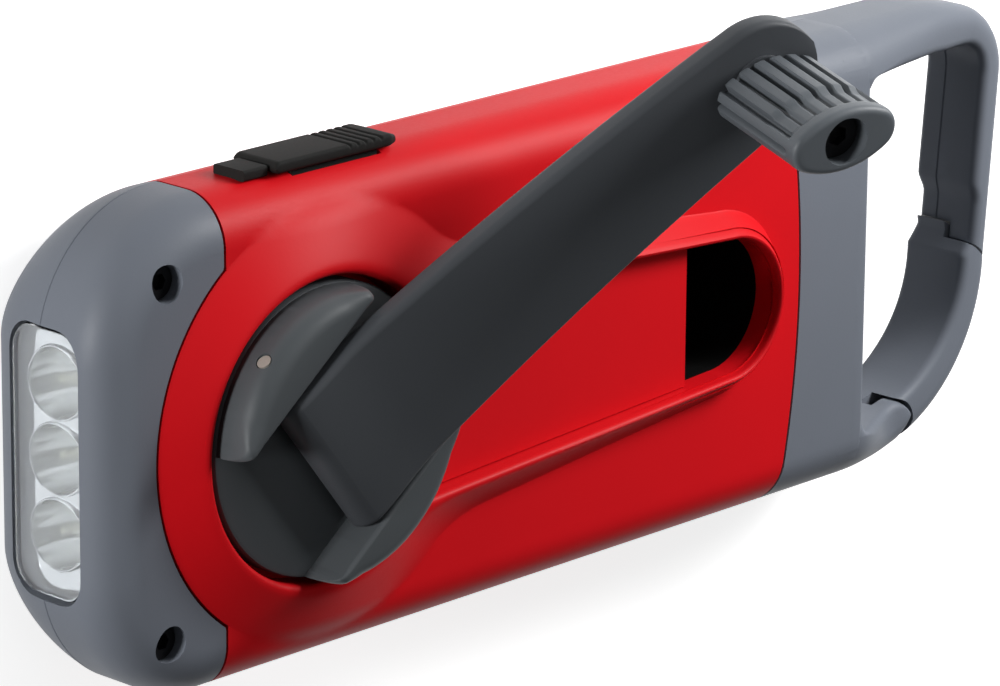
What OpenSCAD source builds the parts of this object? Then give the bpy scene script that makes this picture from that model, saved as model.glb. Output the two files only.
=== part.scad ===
// Hand crank flashlight: a red body with a crank drum and a folding arm, a grey head with a
// lamp window, and a grey tail that forms a carabiner. It lies on its flat back, crank side up.
// The origin is the foot of the crank axis on the back. +X runs to the carabiner, +Z to the crank.

/* [Body] */
// Height of the body across its two narrow sides
body_w = 51.6; // [50:0.2:55]
// Thickness from the flat back to the front face
body_t = 19.2; // [19:0.1:21]
// Height of the joint between the front and the rear shell above the back
part_z = 9.7; // [9.5:0.1:10.2]
// Wall thickness of the shells
wall = 2; // [1.6:0.1:2.4]
// Rounding of the long edges of the front shell
front_edge_r = 5.3; // [4:0.1:6]
// Rounding of the long edges of the rear shell
rear_edge_r = 11.5; // [10.5:0.1:13]
// Distance of the joint to the head from the crank axis
head_seam = 11.7; // [11:0.1:12.5]
// Distance of the joint to the tail from the crank axis
tail_seam = 74.7; // [73:0.1:76]
// Radius of the bowed joint to the tail
tail_seam_r = 109.6; // [90:1:140]

/* [Head] */
// Distance of the front of the head from the crank axis
head_len = 28; // [27.5:0.1:30]
// Corner radius of the head, seen from the crank side
head_corner_r = 10; // [8:0.5:12]
// Rounding of the front edge of the head on the crank side
head_edge_r = 4.8; // [3:0.1:6]
// Rounding of the front edge of the head at the back
head_back_r = 7; // [5:0.5:9]
// Width of the lamp window
window_w = 27; // [26:0.2:28]
// Height of the lamp window
window_h = 10.2; // [9.6:0.2:10.6]
// Corner radius of the lamp window
window_r = 3.4; // [2:0.2:4]
// Height of the middle of the lamp window above the back
window_z = 9.6; // [9.4:0.1:9.8]
// Number of lamps in a row
led_count = 3; // [2:1:3]
// Distance between the lamps
led_pitch = 7.8; // [7.4:0.1:8.2]
// Radius of a lamp
led_r = 1.5; // [1.2:0.1:1.6]
// Radius of a reflector cup at its mouth
cup_r = 3.5; // [3:0.1:3.6]
// Radius of the round lug of the front shell that the head fits around
lug_r = 23.2; // [22:0.1:24]
// Distance of the middle of that lug from the crank axis
lug_x = 2.2; // [1.5:0.1:3]

/* [Ring and recess] */
// Height of the raised rim above the front face
rim_h = 2.9; // [2.5:0.1:3.2]
// Radius of the well that holds the drum
well_r = 16; // [15.8:0.1:16.6]
// Radius of the ring boss at the front face
ring_r = 23.2; // [22:0.1:24]
// Radius of the ring boss at its crest
crest_r = 18.2; // [17.6:0.1:19]
// Thickness of the floor under the drum
well_floor_t = 1.5; // [1.2:0.1:1.6]
// Distance of the round end of the arm recess from the crank axis
recess_x = 60.8; // [60:0.1:62]
// Radius of the round end of the arm recess
recess_r = 7.7; // [7.5:0.1:8]
// Growth of the half width of the recess for each millimetre towards the crank
recess_taper = 0.061; // [0.05:0.001:0.065]
// Depth of the arm recess below the rim
recess_depth = 2.3; // [1.8:0.1:2.6]
// Radius of the boss round the end of the recess, at the front face
boss_r = 10.5; // [10:0.1:11]
// Growth of the half width of the boss for each millimetre towards the crank
boss_taper = 0.105; // [0.08:0.005:0.11]
// Distance of the edge of the knob pocket from the crank axis
pocket_x = 55.5; // [55.2:0.1:56]

/* [Crank] */
// Radius of the drum
drum_r = 15.3; // [15:0.1:15.6]
// Thickness of the drum under its slot
drum_t = 2.8; // [2.6:0.1:3]
// Depth of the floor of the slot below the rim
slot_drop = 0.7; // [0.5:0.1:1]
// Width of the slot between the two ears
slot_w = 19.4; // [19.2:0.1:20]
// Height of the ears above the rim
ear_h = 4; // [3.8:0.1:4.4]
// Rounding of the outer edge of the ears
ear_edge_r = 1.2; // [0.6:0.1:1.6]
// Direction of the slot, seen from the crank side
crank_angle = 38.1; // [30:0.1:45]
// Distance of the arm hinge from the crank axis
hinge_offset = 2.5; // [2:0.1:3]
// Radius of the arm hinge pin
hinge_pin_r = 0.75; // [0.6:0.05:0.9]
// Length of the arm from its hinge to the knob axis
arm_len = 57.8; // [57.2:0.1:58.4]
// Width of the arm at its hinge
arm_w = 18.6; // [18:0.1:18.8]
// Radius of the round tip of the arm
arm_tip_r = 6.8; // [6.6:0.1:7.2]
// Thickness of the arm
arm_t = 2.6; // [2.4:0.1:3]
// Bow of the arm below its chord
arm_bow = 1.1; // [0.8:0.1:1.4]
// Lift of the open arm above the front face
arm_lift = 17.2; // [16:0.1:20]
// Radius of the barrel at the hinge end of the arm
barrel_r = 2.3; // [2.1:0.1:2.5]
// Radius of the crank shaft
shaft_r = 3; // [2.8:0.1:3.2]
// Radial wall of the crank bush
bush_wall = 1.2; // [1:0.1:1.4]

/* [Knob] */
// Length of the knob
knob_len = 14.3; // [14:0.1:15]
// Long width of the knob
knob_w = 12.4; // [12:0.1:12.6]
// Short width of the knob
knob_h = 6.8; // [6.6:0.1:7.2]
// Radius of the tight ends of the oval knob
knob_end_r = 2.4; // [2.2:0.1:2.6]
// Turn of the knob on its screw
knob_turn = -27; // [-90:1:90]
// Ribs on each broad side of the knob
knob_ribs = 7; // [5:1:8]
// Height of a knob rib
rib_h = 0.35; // [0.2:0.05:0.5]
// Radius of the screw that the knob spins on
axle_r = 1.45; // [1.3:0.05:1.5]
// Radius of the hole at the outer end of the knob
knob_hole_r = 2.55; // [2.5:0.05:2.7]
// Depth of the hole at the outer end of the knob
knob_hole_depth = 3.2; // [2.8:0.1:4]

/* [Carabiner] */
// Distance of the end of the tail from the crank axis
tail_end = 86.4; // [86:0.1:88]
// Rounding of the end of the tail
tail_edge_r = 4; // [3:0.1:5]
// Width of the limbs in the plane of the loop
limb_w = 5.4; // [5:0.1:5.8]
// Depth of the limbs across the loop
limb_d = 9; // [8.6:0.1:9.4]
// Rounding of the limbs
limb_r = 2.4; // [2:0.1:2.4]
// Height of the middle of the limbs above the back
limb_z = 10.9; // [10.6:0.1:11.2]
// Distance from the crank axis at which the upper limb starts to bend
bend_x = 98.6; // [97:0.1:100]
// Radius of the slow bend of the upper limb
slow_bend_r = 30; // [28:0.5:34]
// Angle of the slow bend
slow_bend = 18; // [16:0.5:20]
// Radius of the tight bend to the outer limb
tight_bend_r = 5.6; // [5:0.1:6.5]
// Lean of the outer limb
limb_lean = 5; // [4:0.5:6]
// Outer radius of the round corner that the gate forms
gate_r = 20.8; // [20.4:0.1:21.2]
// Angle of the gate hinge below the middle of that corner
gate_hinge_angle = 75; // [73:0.5:76]
// Reach of the front half of the gate from its hinge
gate_reach = 22.6; // [22.4:0.1:23]
// Height of the step at the free end of the gate
gate_step = 1.6; // [1:0.1:2]
// Radius of the gate hinge pin
gate_pin_r = 0.8; // [0.7:0.05:0.9]
// Thickness of the gate's tongue at the hinge
tongue_t = 2.4; // [2:0.1:2.6]
// Thickness of the gate spring along its pin
spring_t = 1.4; // [1.2:0.1:1.6]
// Wire radius of the gate spring
spring_wire_r = 0.3; // [0.25:0.05:0.35]

/* [Port and button] */
// Distance of the hinge line of the port cover from the crank axis, towards the head
flap_hinge = 1.6; // [1.4:0.1:1.8]
// Length of the flap of the port cover
flap_len = 16.7; // [16:0.1:17]
// Width of the port cover
flap_w = 6.2; // [6:0.1:6.4]
// Height of the port cover above the narrow side
flap_t = 1.3; // [1.2:0.1:1.5]
// Length of the tether of the port cover
tether_len = 3.3; // [3:0.1:3.6]
// Width of the tether of the port cover
tether_w = 4.4; // [4:0.1:5]
// Depth of the middle of the port below the front face
port_drop = 5.6; // [5.5:0.1:5.8]
// Distance of the middle of the port from the crank axis
port_x = 6.6; // [6.4:0.1:7]
// Width of the charging socket
socket_w = 13.1; // [12.8:0.1:13.2]
// Height of the charging socket
socket_h = 5.7; // [5.5:0.1:5.8]
// Sheet thickness of the charging socket
socket_sheet = 0.35; // [0.3:0.05:0.4]
// Distance of the middle of the power button from the crank axis
button_x = 30; // [29:0.1:31]
// Length of the power button
button_l = 10; // [8:0.5:10.5]
// Height of the power button
button_h = 4.4; // [4:0.1:4.6]
// Height of the power button above the narrow side
button_proud = 0.8; // [0.6:0.1:1]
// Travel of the power button
button_travel = 0.8; // [0.6:0.1:0.9]

/* [Gears] */
// Tooth size: pitch diameter of a gear for each tooth
gear_module = 0.6; // [0.58:0.01:0.61]
// Teeth of the drive gear
drive_teeth = 36; // [34:1:37]
// Teeth of each pinion
pinion_teeth = 12; // [12:1:13]
// Teeth of the first gear
first_teeth = 33; // [31:1:33]
// Teeth of the second gear
second_teeth = 30; // [28:1:30]
// Pressure angle of the teeth
pressure_angle = 25; // [22:0.5:27]
// Play between meshing teeth
backlash = 0.12; // [0.1:0.01:0.2]
// Thickness of each gear
gear_t = 2; // [1.8:0.1:2.2]
// Distance between the layers of the gear train
gear_step = 2.7; // [2.6:0.05:2.8]
// Radius of the steel pins that the gears run on
gear_pin_r = 0.75; // [0.6:0.05:0.9]
// Direction of the first gear, seen from the crank axis
first_angle = -50; // [-54:1:-46]
// Direction of the second gear, seen from the first
second_angle = 38; // [36:1:42]
// Direction of the rotor, seen from the second gear
rotor_angle = -20; // [-22:1:-16]
// Radius of the magnet ring
magnet_r = 6.5; // [6:0.1:6.6]
// Outer radius of the stator
stator_r = 9.2; // [9:0.1:9.3]

/* [Electrics] */
// Radius of a battery cell
cell_r = 6.3; // [6:0.1:6.4]
// Length of a battery cell
cell_l = 6; // [5.5:0.1:6.2]
// Number of battery cells
cell_count = 3; // [2:1:3]
// Distance of the battery from the crank axis
cell_x = 47.6; // [47.4:0.1:47.7]
// Thickness of the circuit boards
board_t = 1.2; // [1:0.1:1.4]
// Length of the main board
board_l = 42; // [40:0.5:43]
// Width of the main board
board_w = 11; // [10.5:0.1:11.2]
// Radius of the internal wires
wire_r = 0.5; // [0.4:0.05:0.6]

/* [Fasteners] */
// Core radius of the case, head and tail screws
screw_r = 0.95; // [0.8:0.05:1]
// Head radius of those screws
screw_head_r = 1.75; // [1.6:0.05:1.8]
// Head height of those screws
screw_head_t = 1.6; // [1.4:0.1:1.8]
// Radius of the screw bosses
screw_boss_r = 2.8; // [2.6:0.1:3]
// Distance of the head screws from the crank axis along the body
head_screw_x = 19.3; // [19:0.1:19.6]
// Distance of the head screws from the middle of the body
head_screw_y = 18.6; // [18.4:0.1:19]

/* [Clearances] */
// Gap between fixed pieces
fit_gap = 0.05; // [0.03:0.01:0.08]
// Radial play of a shaft in its hole
run_gap = 0.05; // [0.03:0.01:0.08]
// Gap between pieces that move past each other
move_gap = 0.3; // [0.25:0.01:0.35]

/* [Hidden] */
$fn = 64;
big = 400;
// Straight steps on each half of the bowed joint, and sides of a wire
seam_steps = 6;
wire_sides = 8;
half_w = body_w / 2;
// Distance of the centres of the rear edge arcs from the middle of the body
rear_flat = half_w - sqrt(pow(rear_edge_r, 2) - pow(rear_edge_r - part_z, 2));

// Heights of the crank stack, from the rim down
rim_z = body_t + rim_h;
slot_z = rim_z - slot_drop;
ear_z = rim_z + ear_h;
hinge_z = slot_z + barrel_r + move_gap;
drum_z = slot_z - drum_t;
well_z = drum_z - move_gap;
well_under_z = well_z - well_floor_t;
recess_z = rim_z - recess_depth;
recess_under_z = recess_z - wall;

// The gear layers hang from the floor under the drum
bush_boss_t = 2.1;
bush_r = shaft_r + run_gap + bush_wall;
bush_z = well_under_z - bush_boss_t;
drive_z = bush_z - 0.4 - gear_t;
first_z = drive_z - gear_step;
second_z = first_z - gear_step;
gear_end_gap = 0.3;

// The stator round the magnet ring, between the back and the second gear
stator_z = wall + move_gap;
core_h = second_z - 0.4 - stator_z;
core_r = magnet_r + 0.5;
core_flange = 0.8;
core_wall = 0.6;
hub_r = 3;

function pitch_r(teeth) = gear_module * teeth / 2;
function polar(r, a) = [r * cos(a), r * sin(a)];
first_pos = polar(pitch_r(drive_teeth + pinion_teeth), first_angle);
second_pos = first_pos + polar(pitch_r(first_teeth + pinion_teeth), second_angle);
rotor_pos = second_pos + polar(pitch_r(second_teeth + pinion_teeth), rotor_angle);

// The screws of the case, as places on the back
case_screw_y = 19.4;
case_screws_at = [for (x = [-8.2, 46], s = [-1, 1]) [x, s * case_screw_y]];
tail_screw_x = 79.6;
tail_screw_y = 18.6;
case_seat_z = 3.8;
case_tip_z = 15.4;
head_seat_z = body_t - 3;
tab_t = 1.4;
tab_w = 6.4;
tab_z = part_z - tab_t - fit_gap;

// The carabiner's line, from the upper limb round to the gate
limb_y = half_w - limb_w / 2;
gate_line_r = gate_r - limb_w / 2;
gate_mid = [91.8, -limb_y + gate_line_r];
gate_hinge = gate_mid + polar(gate_line_r, -gate_hinge_angle);
slow_mid = [bend_x, limb_y - slow_bend_r];
slow_end = slow_mid + polar(slow_bend_r, 90 - slow_bend);
tight_mid = slow_end - polar(tight_bend_r, 90 - slow_bend);
tight_end = tight_mid + polar(tight_bend_r, -limb_lean);
gate_step_z = limb_z + 0.6;
cheek_gap = 0.25;
limb_lap = 0.3;
limb_step = 0.04;
tongue_z = limb_z - 2;
spring_z = tongue_z + tongue_t + cheek_gap;
tongue_top_z = spring_z + spring_t + cheek_gap;

// The arm's bow as one arc through the hinge and the knob axis
bow_r = pow(arm_len / 2, 2) / (2 * arm_bow) + arm_bow / 2;
pad_z = arm_t / 2 + 0.4;
pad_r = 3.2;
washer_t = 0.3;
knob_z = pad_z + washer_t + 0.1;
knob_top = knob_z + knob_len;
thread_r = 1;

// The oval of the knob: two tight end arcs and two broad arcs that meet them
oval_c = knob_w / 2 - knob_end_r;
oval_b = knob_h / 2;
broad_r = (pow(oval_c, 2) + pow(oval_b, 2) - pow(knob_end_r, 2)) / (2 * (oval_b - knob_end_r));
oval_meet = oval_c * broad_r / (broad_r - knob_end_r);

// The port on the upper narrow side
port_z = body_t - port_drop;
flap_y = half_w + 0.1;
flap_axis_y = flap_y + flap_t / 2;
mouth_w = socket_w - 0.5;
mouth_h = socket_h - 0.5;
socket_l = 11.6;
socket_back_y = half_w - wall - fit_gap - socket_l;
board_top_z = port_z - socket_h / 2 - fit_gap;
board_y = half_w - wall - 0.6 - board_w;
board_x = -4;
board_screws_at = [[20, board_y + board_w / 2], [board_x + board_l - 4, board_y + board_w / 2]];

// The power button on the lower narrow side
button_z = part_z + button_h / 2 + move_gap;
button_flange = 1;
flange_lap = 0.6;
stem_y = -half_w + wall + 0.3 + button_flange + button_travel + 0.2;
stem_l = 0.9;
switch_h = 2.6;
switch_y = stem_y + stem_l + switch_h;
switch_w = 6;
switch_plate_w = 12;
switch_plate_h = 8;

// The lamp in the head
flange_w = 1.2;
flange_h = window_h - 0.6;
flange_r = flange_h / 2 - 0.2;
lens_gap = 0.25;
lens_drop = 0.6;
lens_x = -head_len + wall + fit_gap;
reflector_x = lens_x + flange_w + fit_gap;
reflector_l = 7;
led_board_x = reflector_x + reflector_l + move_gap;
led_hole_r = led_r + 0.4;
led_board_w = 28;
lamp_h = window_h + 0.8;

cell_z = wall + move_gap + cell_r;
cell_pack_l = cell_count * (cell_l + fit_gap);
tab_sheet = 0.2;

red = "#c8161e";
grey = "#6a6e76";
dark = "#34373b";
steel = "#b9bcc2";
brass = "#b99a52";
board_green = "#2f6b3c";

// A flat shape in Y and Z, carried along X
module along_x(x0, x1) {
    translate([x0, 0, 0]) rotate([90, 0, 90]) linear_extrude(x1 - x0) children();
}

// A flat shape in X and Z, carried along Y on both sides of the middle
module along_y(width) {
    rotate([90, 0, 0]) linear_extrude(width, center = true) children();
}

module at(p, z0) {
    translate([p[0], p[1], z0]) children();
}

module above(z0) {
    translate([-big / 2, -big / 2, z0]) cube(big);
}

module below(z0) {
    translate([-big / 2, -big / 2, z0 - big]) cube(big);
}

module beyond_x(x0) {
    translate([x0, -big / 2, -big / 2]) cube(big);
}

// A rectangle with round corners about the middle of its place
module round_rect(w, h, r) {
    square([w - 2 * r, h], center = true);
    square([w, h - 2 * r], center = true);
    for (sx = [-1, 1], sy = [-1, 1])
        translate([sx * (w / 2 - r), sy * (h / 2 - r)]) circle(r);
}

// Cross section of the body in Y and Z, drawn in by inset
module section(inset) {
    w = half_w - inset;
    top = body_t - inset;
    r = front_edge_r - inset;
    translate([-w, part_z]) square([2 * w, top - r - part_z]);
    translate([-(w - r), part_z]) square([2 * (w - r), top - part_z]);
    for (s = [-1, 1])
        translate([s * (w - r), top - r]) circle(r);
    translate([-rear_flat, inset]) square([2 * rear_flat, part_z - inset]);
    for (s = [0, 1])
        mirror([s, 0]) intersection() {
            translate([rear_flat, rear_edge_r]) circle(rear_edge_r - inset);
            translate([rear_flat, 0]) square([half_w, part_z]);
        }
}

module body_blank(inset) {
    along_x(-60, 110) section(inset);
}

// The bowed joint to the tail: red lies before it, grey past it, moved by a gap
function seam_line(gap) = [
    for (i = [-seam_steps:seam_steps])
        let (a = i * asin((half_w + 2) / tail_seam_r) / seam_steps)
        [tail_seam - tail_seam_r, 0] + polar(tail_seam_r + gap, a)
];

module before_tail_seam() {
    translate([0, 0, -1]) linear_extrude(60)
        polygon(concat([[-60, half_w + 2], [-60, -half_w - 2]], seam_line(0)));
}

module past_tail_seam() {
    translate([0, 0, -1]) linear_extrude(60)
        polygon(concat([[130, half_w + 2], [130, -half_w - 2]], seam_line(fit_gap)));
}

module screw(head_z, tip_z) {
    s = sign(head_z - tip_z);
    translate([0, 0, min(head_z, tip_z)]) cylinder(r = screw_r, h = abs(head_z - tip_z));
    translate([0, 0, s > 0 ? head_z : head_z - screw_head_t]) cylinder(r = screw_head_r, h = screw_head_t);
}

// Plan of the arm recess and of the boss round it: a tapered band with a round end
module recess_plan(r, taper) {
    base = r + taper * recess_x;
    polygon([[0, -base], [recess_x, -r], [recess_x, r], [0, base]]);
    translate([recess_x, 0]) circle(r);
}

module lug(gap) {
    translate([lug_x, 0, part_z]) cylinder(r = lug_r + gap, h = 40, $fn = 128);
}

// Tabs of the rear shell that the head and tail screws clamp, each on a web to the side wall
module tabs() {
    web_y = half_w - wall / 2;
    for (s = [0, 1])
        mirror([0, s, 0]) {
            translate([-head_screw_x - tab_w / 2, head_screw_y - tab_w / 2, tab_z])
                cube([head_screw_x - head_seam + tab_w, tab_w, tab_t]);
            translate([tail_seam - 14, tail_screw_y - tab_w / 2, tab_z])
                cube([tail_screw_x + tab_w / 2 - tail_seam + 14, tab_w, tab_t]);
            translate([tail_seam - 14, tail_screw_y, tab_z]) cube([8, web_y - tail_screw_y, tab_t]);
        }
}

module port_pad() {
    pad_t = wall + 0.4;
    pad_lap = 0.9;
    translate([-flap_hinge - tether_len - pad_lap, half_w - pad_t, port_z - flap_w / 2])
        cube([flap_len + tether_len + pad_lap, pad_t, flap_w]);
}

// The ledge that the board of the power switch stands on
module switch_ledge() {
    ledge_w = 10;
    translate([button_x - ledge_w / 2, switch_y - 0.6, 0])
        cube([ledge_w, board_t + 0.6, button_z - switch_plate_h / 2 - fit_gap]);
}

module button_hole() {
    translate([button_x, -half_w - 2, button_z]) rotate([-90, 0, 0])
        linear_extrude(wall + 4) round_rect(button_l, button_h, 1.4);
}

module front_shell() {
    color(red) difference() {
        union() {
            difference() {
                intersection() {
                    body_blank(0);
                    above(part_z);
                    before_tail_seam();
                    union() {
                        beyond_x(-head_seam);
                        lug(0);
                    }
                }
                body_blank(wall);
            }
            intersection() {
                translate([0, 0, body_t]) cylinder(r1 = ring_r, r2 = crest_r, h = rim_h, $fn = 128);
                lug(0);
            }
            translate([0, 0, well_under_z]) cylinder(r = well_r + wall, h = body_t - well_under_z);
            translate([0, 0, bush_z]) cylinder(r = bush_r + 1.4, h = bush_boss_t + fit_gap);
            translate([0, 0, recess_under_z]) linear_extrude(body_t + rim_h / 2 - recess_under_z)
                recess_plan(boss_r, boss_taper);
            translate([0, 0, recess_under_z]) linear_extrude(rim_z - recess_under_z)
                recess_plan((boss_r + recess_r) / 2, (boss_taper + recess_taper) / 2);
            intersection() {
                translate([0, 0, wall + fit_gap]) linear_extrude(body_t - wall)
                    recess_plan(recess_r + 1.4, recess_taper);
                beyond_x(pocket_x - 1.4);
                body_blank(wall - 0.5);
            }
            intersection() {
                union() {
                    for (p = case_screws_at)
                        at(p, part_z + fit_gap) cylinder(r = screw_boss_r, h = body_t);
                    at(second_pos, first_z + gear_t + gear_end_gap) cylinder(r = 2, h = body_t);
                    at(rotor_pos, second_z + gear_t + 2 * gear_end_gap) cylinder(r = 1.8, h = body_t);
                    at(first_pos, drive_z + gear_t + gear_end_gap)
                        cylinder(r = 2, h = well_z - drive_z - gear_t - 0.5);
                }
                body_blank(wall / 2);
            }
            port_pad();
        }
        translate([0, 0, well_z]) cylinder(r = well_r, h = big);
        translate([0, 0, bush_z - 1]) cylinder(r = bush_r, h = well_z - bush_z + 2);
        translate([0, 0, recess_z]) linear_extrude(big) recess_plan(recess_r, recess_taper);
        translate([0, 0, wall]) intersection() {
            linear_extrude(big) recess_plan(recess_r, recess_taper);
            beyond_x(pocket_x);
        }
        translate([port_x, half_w + 2, port_z]) rotate([90, 0, 0])
            linear_extrude(10) square([mouth_w, mouth_h], center = true);
        translate([port_x - socket_w / 2 - fit_gap, socket_back_y, port_z - socket_h / 2 - fit_gap])
            cube([socket_w + 2 * fit_gap, socket_l + fit_gap, socket_h + 2 * fit_gap]);
        button_hole();
        for (p = case_screws_at)
            at(p, part_z - 1) cylinder(r = screw_r, h = case_tip_z - part_z + 1);
        at(first_pos, 0) cylinder(r = gear_pin_r, h = well_under_z + 0.7);
        at(second_pos, 0) cylinder(r = gear_pin_r, h = well_under_z - 0.4);
        at(rotor_pos, 0) cylinder(r = gear_pin_r, h = well_under_z - 0.4);
    }
}

module rear_shell() {
    color(red) difference() {
        union() {
            difference() {
                intersection() {
                    body_blank(0);
                    below(part_z - fit_gap);
                    before_tail_seam();
                    beyond_x(-head_seam);
                }
                body_blank(wall);
            }
            intersection() {
                union() {
                    for (p = case_screws_at)
                        at(p, 0) cylinder(r = screw_boss_r, h = part_z - fit_gap);
                    at(first_pos, 0) cylinder(r = 2, h = first_z - gear_end_gap);
                    at(second_pos, 0) cylinder(r = 2, h = second_z - gear_end_gap);
                    at(rotor_pos, 0) cylinder(r = 2, h = wall + move_gap);
                    for (p = board_screws_at)
                        at(p, 0) cylinder(r = 2, h = board_top_z - board_t - fit_gap);
                    switch_ledge();
                }
                body_blank(wall / 2);
                below(part_z - fit_gap);
            }
            tabs();
        }
        for (p = case_screws_at) {
            at(p, -1) cylinder(r = screw_r + 0.2, h = part_z + 2);
            at(p, -1) cylinder(r = screw_head_r + 0.2, h = case_seat_z + 1);
        }
        for (s = [-1, 1]) {
            at([-head_screw_x, s * head_screw_y], 0) cylinder(r = screw_r + 0.2, h = part_z + 1);
            at([tail_screw_x, s * tail_screw_y], 0) cylinder(r = screw_r + 0.2, h = part_z + 1);
        }
        for (p = [first_pos, second_pos, rotor_pos])
            at(p, wall / 2) cylinder(r = gear_pin_r, h = part_z);
        for (p = board_screws_at)
            at(p, wall + 1) cylinder(r = screw_r, h = part_z);
    }
}

// The head, drawn in by inset: the body's section, cut to the plan and the side view
module head_blank(inset) {
    w = half_w - inset;
    r = head_corner_r - inset;
    x0 = -head_len + inset;
    back_r = head_back_r - inset;
    edge_r = head_edge_r - inset;
    intersection() {
        body_blank(inset);
        translate([0, 0, -1]) linear_extrude(60) {
            translate([x0 + r, -w]) square([60, 2 * w]);
            translate([x0, r - w]) square([60, 2 * (w - r)]);
            for (s = [-1, 1])
                translate([x0 + r, s * (w - r)]) circle(r);
        }
        along_y(2 * body_w) {
            translate([x0, inset + back_r]) square([60, body_t - 2 * inset - back_r - edge_r]);
            translate([x0 + back_r, inset]) square([60, body_t - 2 * inset]);
            translate([x0 + edge_r, part_z]) square([back_r, body_t - inset - part_z]);
            translate([x0 + back_r, inset + back_r]) circle(back_r);
            translate([x0 + edge_r, body_t - inset - edge_r]) circle(edge_r);
        }
    }
}

module head_shell() {
    difference() {
        head_blank(0);
        head_blank(wall);
        beyond_x(-head_seam - fit_gap);
        along_x(-head_len - 1, -head_len + wall + 1)
            translate([0, window_z]) round_rect(window_w, window_h, window_r);
    }
}

module head_cover_front() {
    color(grey) difference() {
        union() {
            intersection() {
                head_shell();
                above(part_z);
            }
            for (s = [-1, 1])
                intersection() {
                    at([-head_screw_x, s * head_screw_y], part_z) cylinder(r = screw_boss_r, h = body_t);
                    head_blank(wall / 2);
                }
        }
        lug(fit_gap);
        for (s = [-1, 1])
            at([-head_screw_x, s * head_screw_y], 0) {
                cylinder(r = screw_r + 0.2, h = big);
                translate([0, 0, head_seat_z]) cylinder(r = screw_head_r + 0.2, h = big);
            }
    }
}

// Two ribs that the reflector and the board of the lamps stand on
module lamp_seat() {
    seat_t = 1.6;
    for (s = [-1, 1])
        translate([reflector_x + 1, s * led_pitch - seat_t / 2, wall / 2])
            cube([led_board_x + board_t - reflector_x - 1, seat_t,
                window_z - (lamp_h + wall) / 2 - fit_gap]);
}

module head_cover_rear() {
    color(grey) difference() {
        union() {
            intersection() {
                head_shell();
                below(part_z - fit_gap);
            }
            for (s = [-1, 1])
                intersection() {
                    at([-head_screw_x, s * head_screw_y], 0) cylinder(r = screw_boss_r, h = tab_z - fit_gap);
                    head_blank(wall / 2);
                }
            lamp_seat();
        }
        for (s = [-1, 1])
            at([-head_screw_x, s * head_screw_y], wall + 1) cylinder(r = screw_r, h = big);
    }
}

// Cross section of a limb: radial across, depth up, a hair larger by step
module limb_section(step) {
    round_rect(limb_w + step, limb_d + step, limb_r + step / 2);
}

// A straight limb from a point along a heading, a hair larger than the bends it runs into
module limb_run(p, heading, length) {
    at(p, limb_z) rotate([0, 0, heading]) along_x(-limb_lap, length + limb_lap) limb_section(limb_step);
}

module limb_bend(mid, r, a0, a1) {
    at(mid, limb_z) rotate([0, 0, a0]) rotate_extrude(angle = a1 - a0, $fn = 180)
        translate([r, 0]) limb_section(0);
}

// The round end of a limb, a hair smaller than the bend it closes
module limb_end(p) {
    at(p, limb_z) rotate_extrude() intersection() {
        limb_section(-limb_step);
        translate([0, -limb_d]) square([limb_w, 2 * limb_d]);
    }
}

module hinge_disc(r, z0, z1) {
    at(gate_hinge, z0) cylinder(r = r, h = z1 - z0);
}

// The space that the gate sweeps at its free end, a step further out in its rear half
module gate_sweep(gap) {
    at(gate_hinge, 0) cylinder(r = gate_reach + gap, h = 40, $fn = 180);
    at(gate_hinge, 0) cylinder(r = gate_reach + gate_step + gap, h = gate_step_z + gap, $fn = 180);
}

module tail_blank(inset) {
    x1 = tail_end - inset;
    r = tail_edge_r - inset;
    intersection() {
        body_blank(inset);
        along_y(3 * body_w) {
            translate([0, inset]) square([x1 - r, body_t - 2 * inset]);
            translate([0, inset + r]) square([x1, body_t - 2 * inset - 2 * r]);
            translate([x1 - r, inset + r]) circle(r);
            translate([x1 - r, body_t - inset - r]) circle(r);
        }
        past_tail_seam();
    }
}

module carabiner_frame() {
    difference() {
        tail_blank(0);
        tail_blank(wall);
    }
    limb_run([tail_end - wall, limb_y], 0, bend_x - tail_end + wall);
    limb_bend(slow_mid, slow_bend_r, 90 - slow_bend, 90);
    limb_bend(tight_mid, tight_bend_r, -limb_lean, 90 - slow_bend);
    difference() {
        limb_run(tight_end, -90 - limb_lean, 24);
        gate_sweep(move_gap);
    }
    difference() {
        union() {
            limb_run([tail_end - wall, -limb_y], 0, gate_mid[0] - tail_end + wall);
            limb_bend(gate_mid, gate_line_r, -90, -gate_hinge_angle);
            limb_end(gate_hinge);
        }
        hinge_disc(limb_w / 2 + move_gap, tongue_z - cheek_gap, tongue_top_z);
        hinge_disc(gate_pin_r, 0, 40);
        spring_leg(spring_wire_r + 0.1, 180 - gate_hinge_angle + 90);
    }
}

module tail_screw_holes(r) {
    for (s = [-1, 1])
        at([tail_screw_x, s * tail_screw_y], 0) cylinder(r = r, h = case_tip_z);
}

module tail_front() {
    color(grey) difference() {
        union() {
            intersection() {
                carabiner_frame();
                above(part_z);
            }
            for (s = [-1, 1])
                intersection() {
                    at([tail_screw_x, s * tail_screw_y], part_z) cylinder(r = screw_boss_r, h = body_t);
                    tail_blank(wall / 2);
                }
        }
        tail_screw_holes(screw_r);
    }
}

module tail_rear() {
    color(grey) difference() {
        union() {
            intersection() {
                carabiner_frame();
                below(part_z - fit_gap);
            }
            for (s = [-1, 1])
                intersection() {
                    at([tail_screw_x, s * tail_screw_y], 0) cylinder(r = screw_boss_r, h = tab_z - fit_gap);
                    tail_blank(wall / 2);
                }
        }
        tail_screw_holes(screw_r + 0.2);
        for (s = [-1, 1])
            at([tail_screw_x, s * tail_screw_y], -1) cylinder(r = screw_head_r + 0.2, h = case_seat_z + 1);
    }
}

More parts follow.
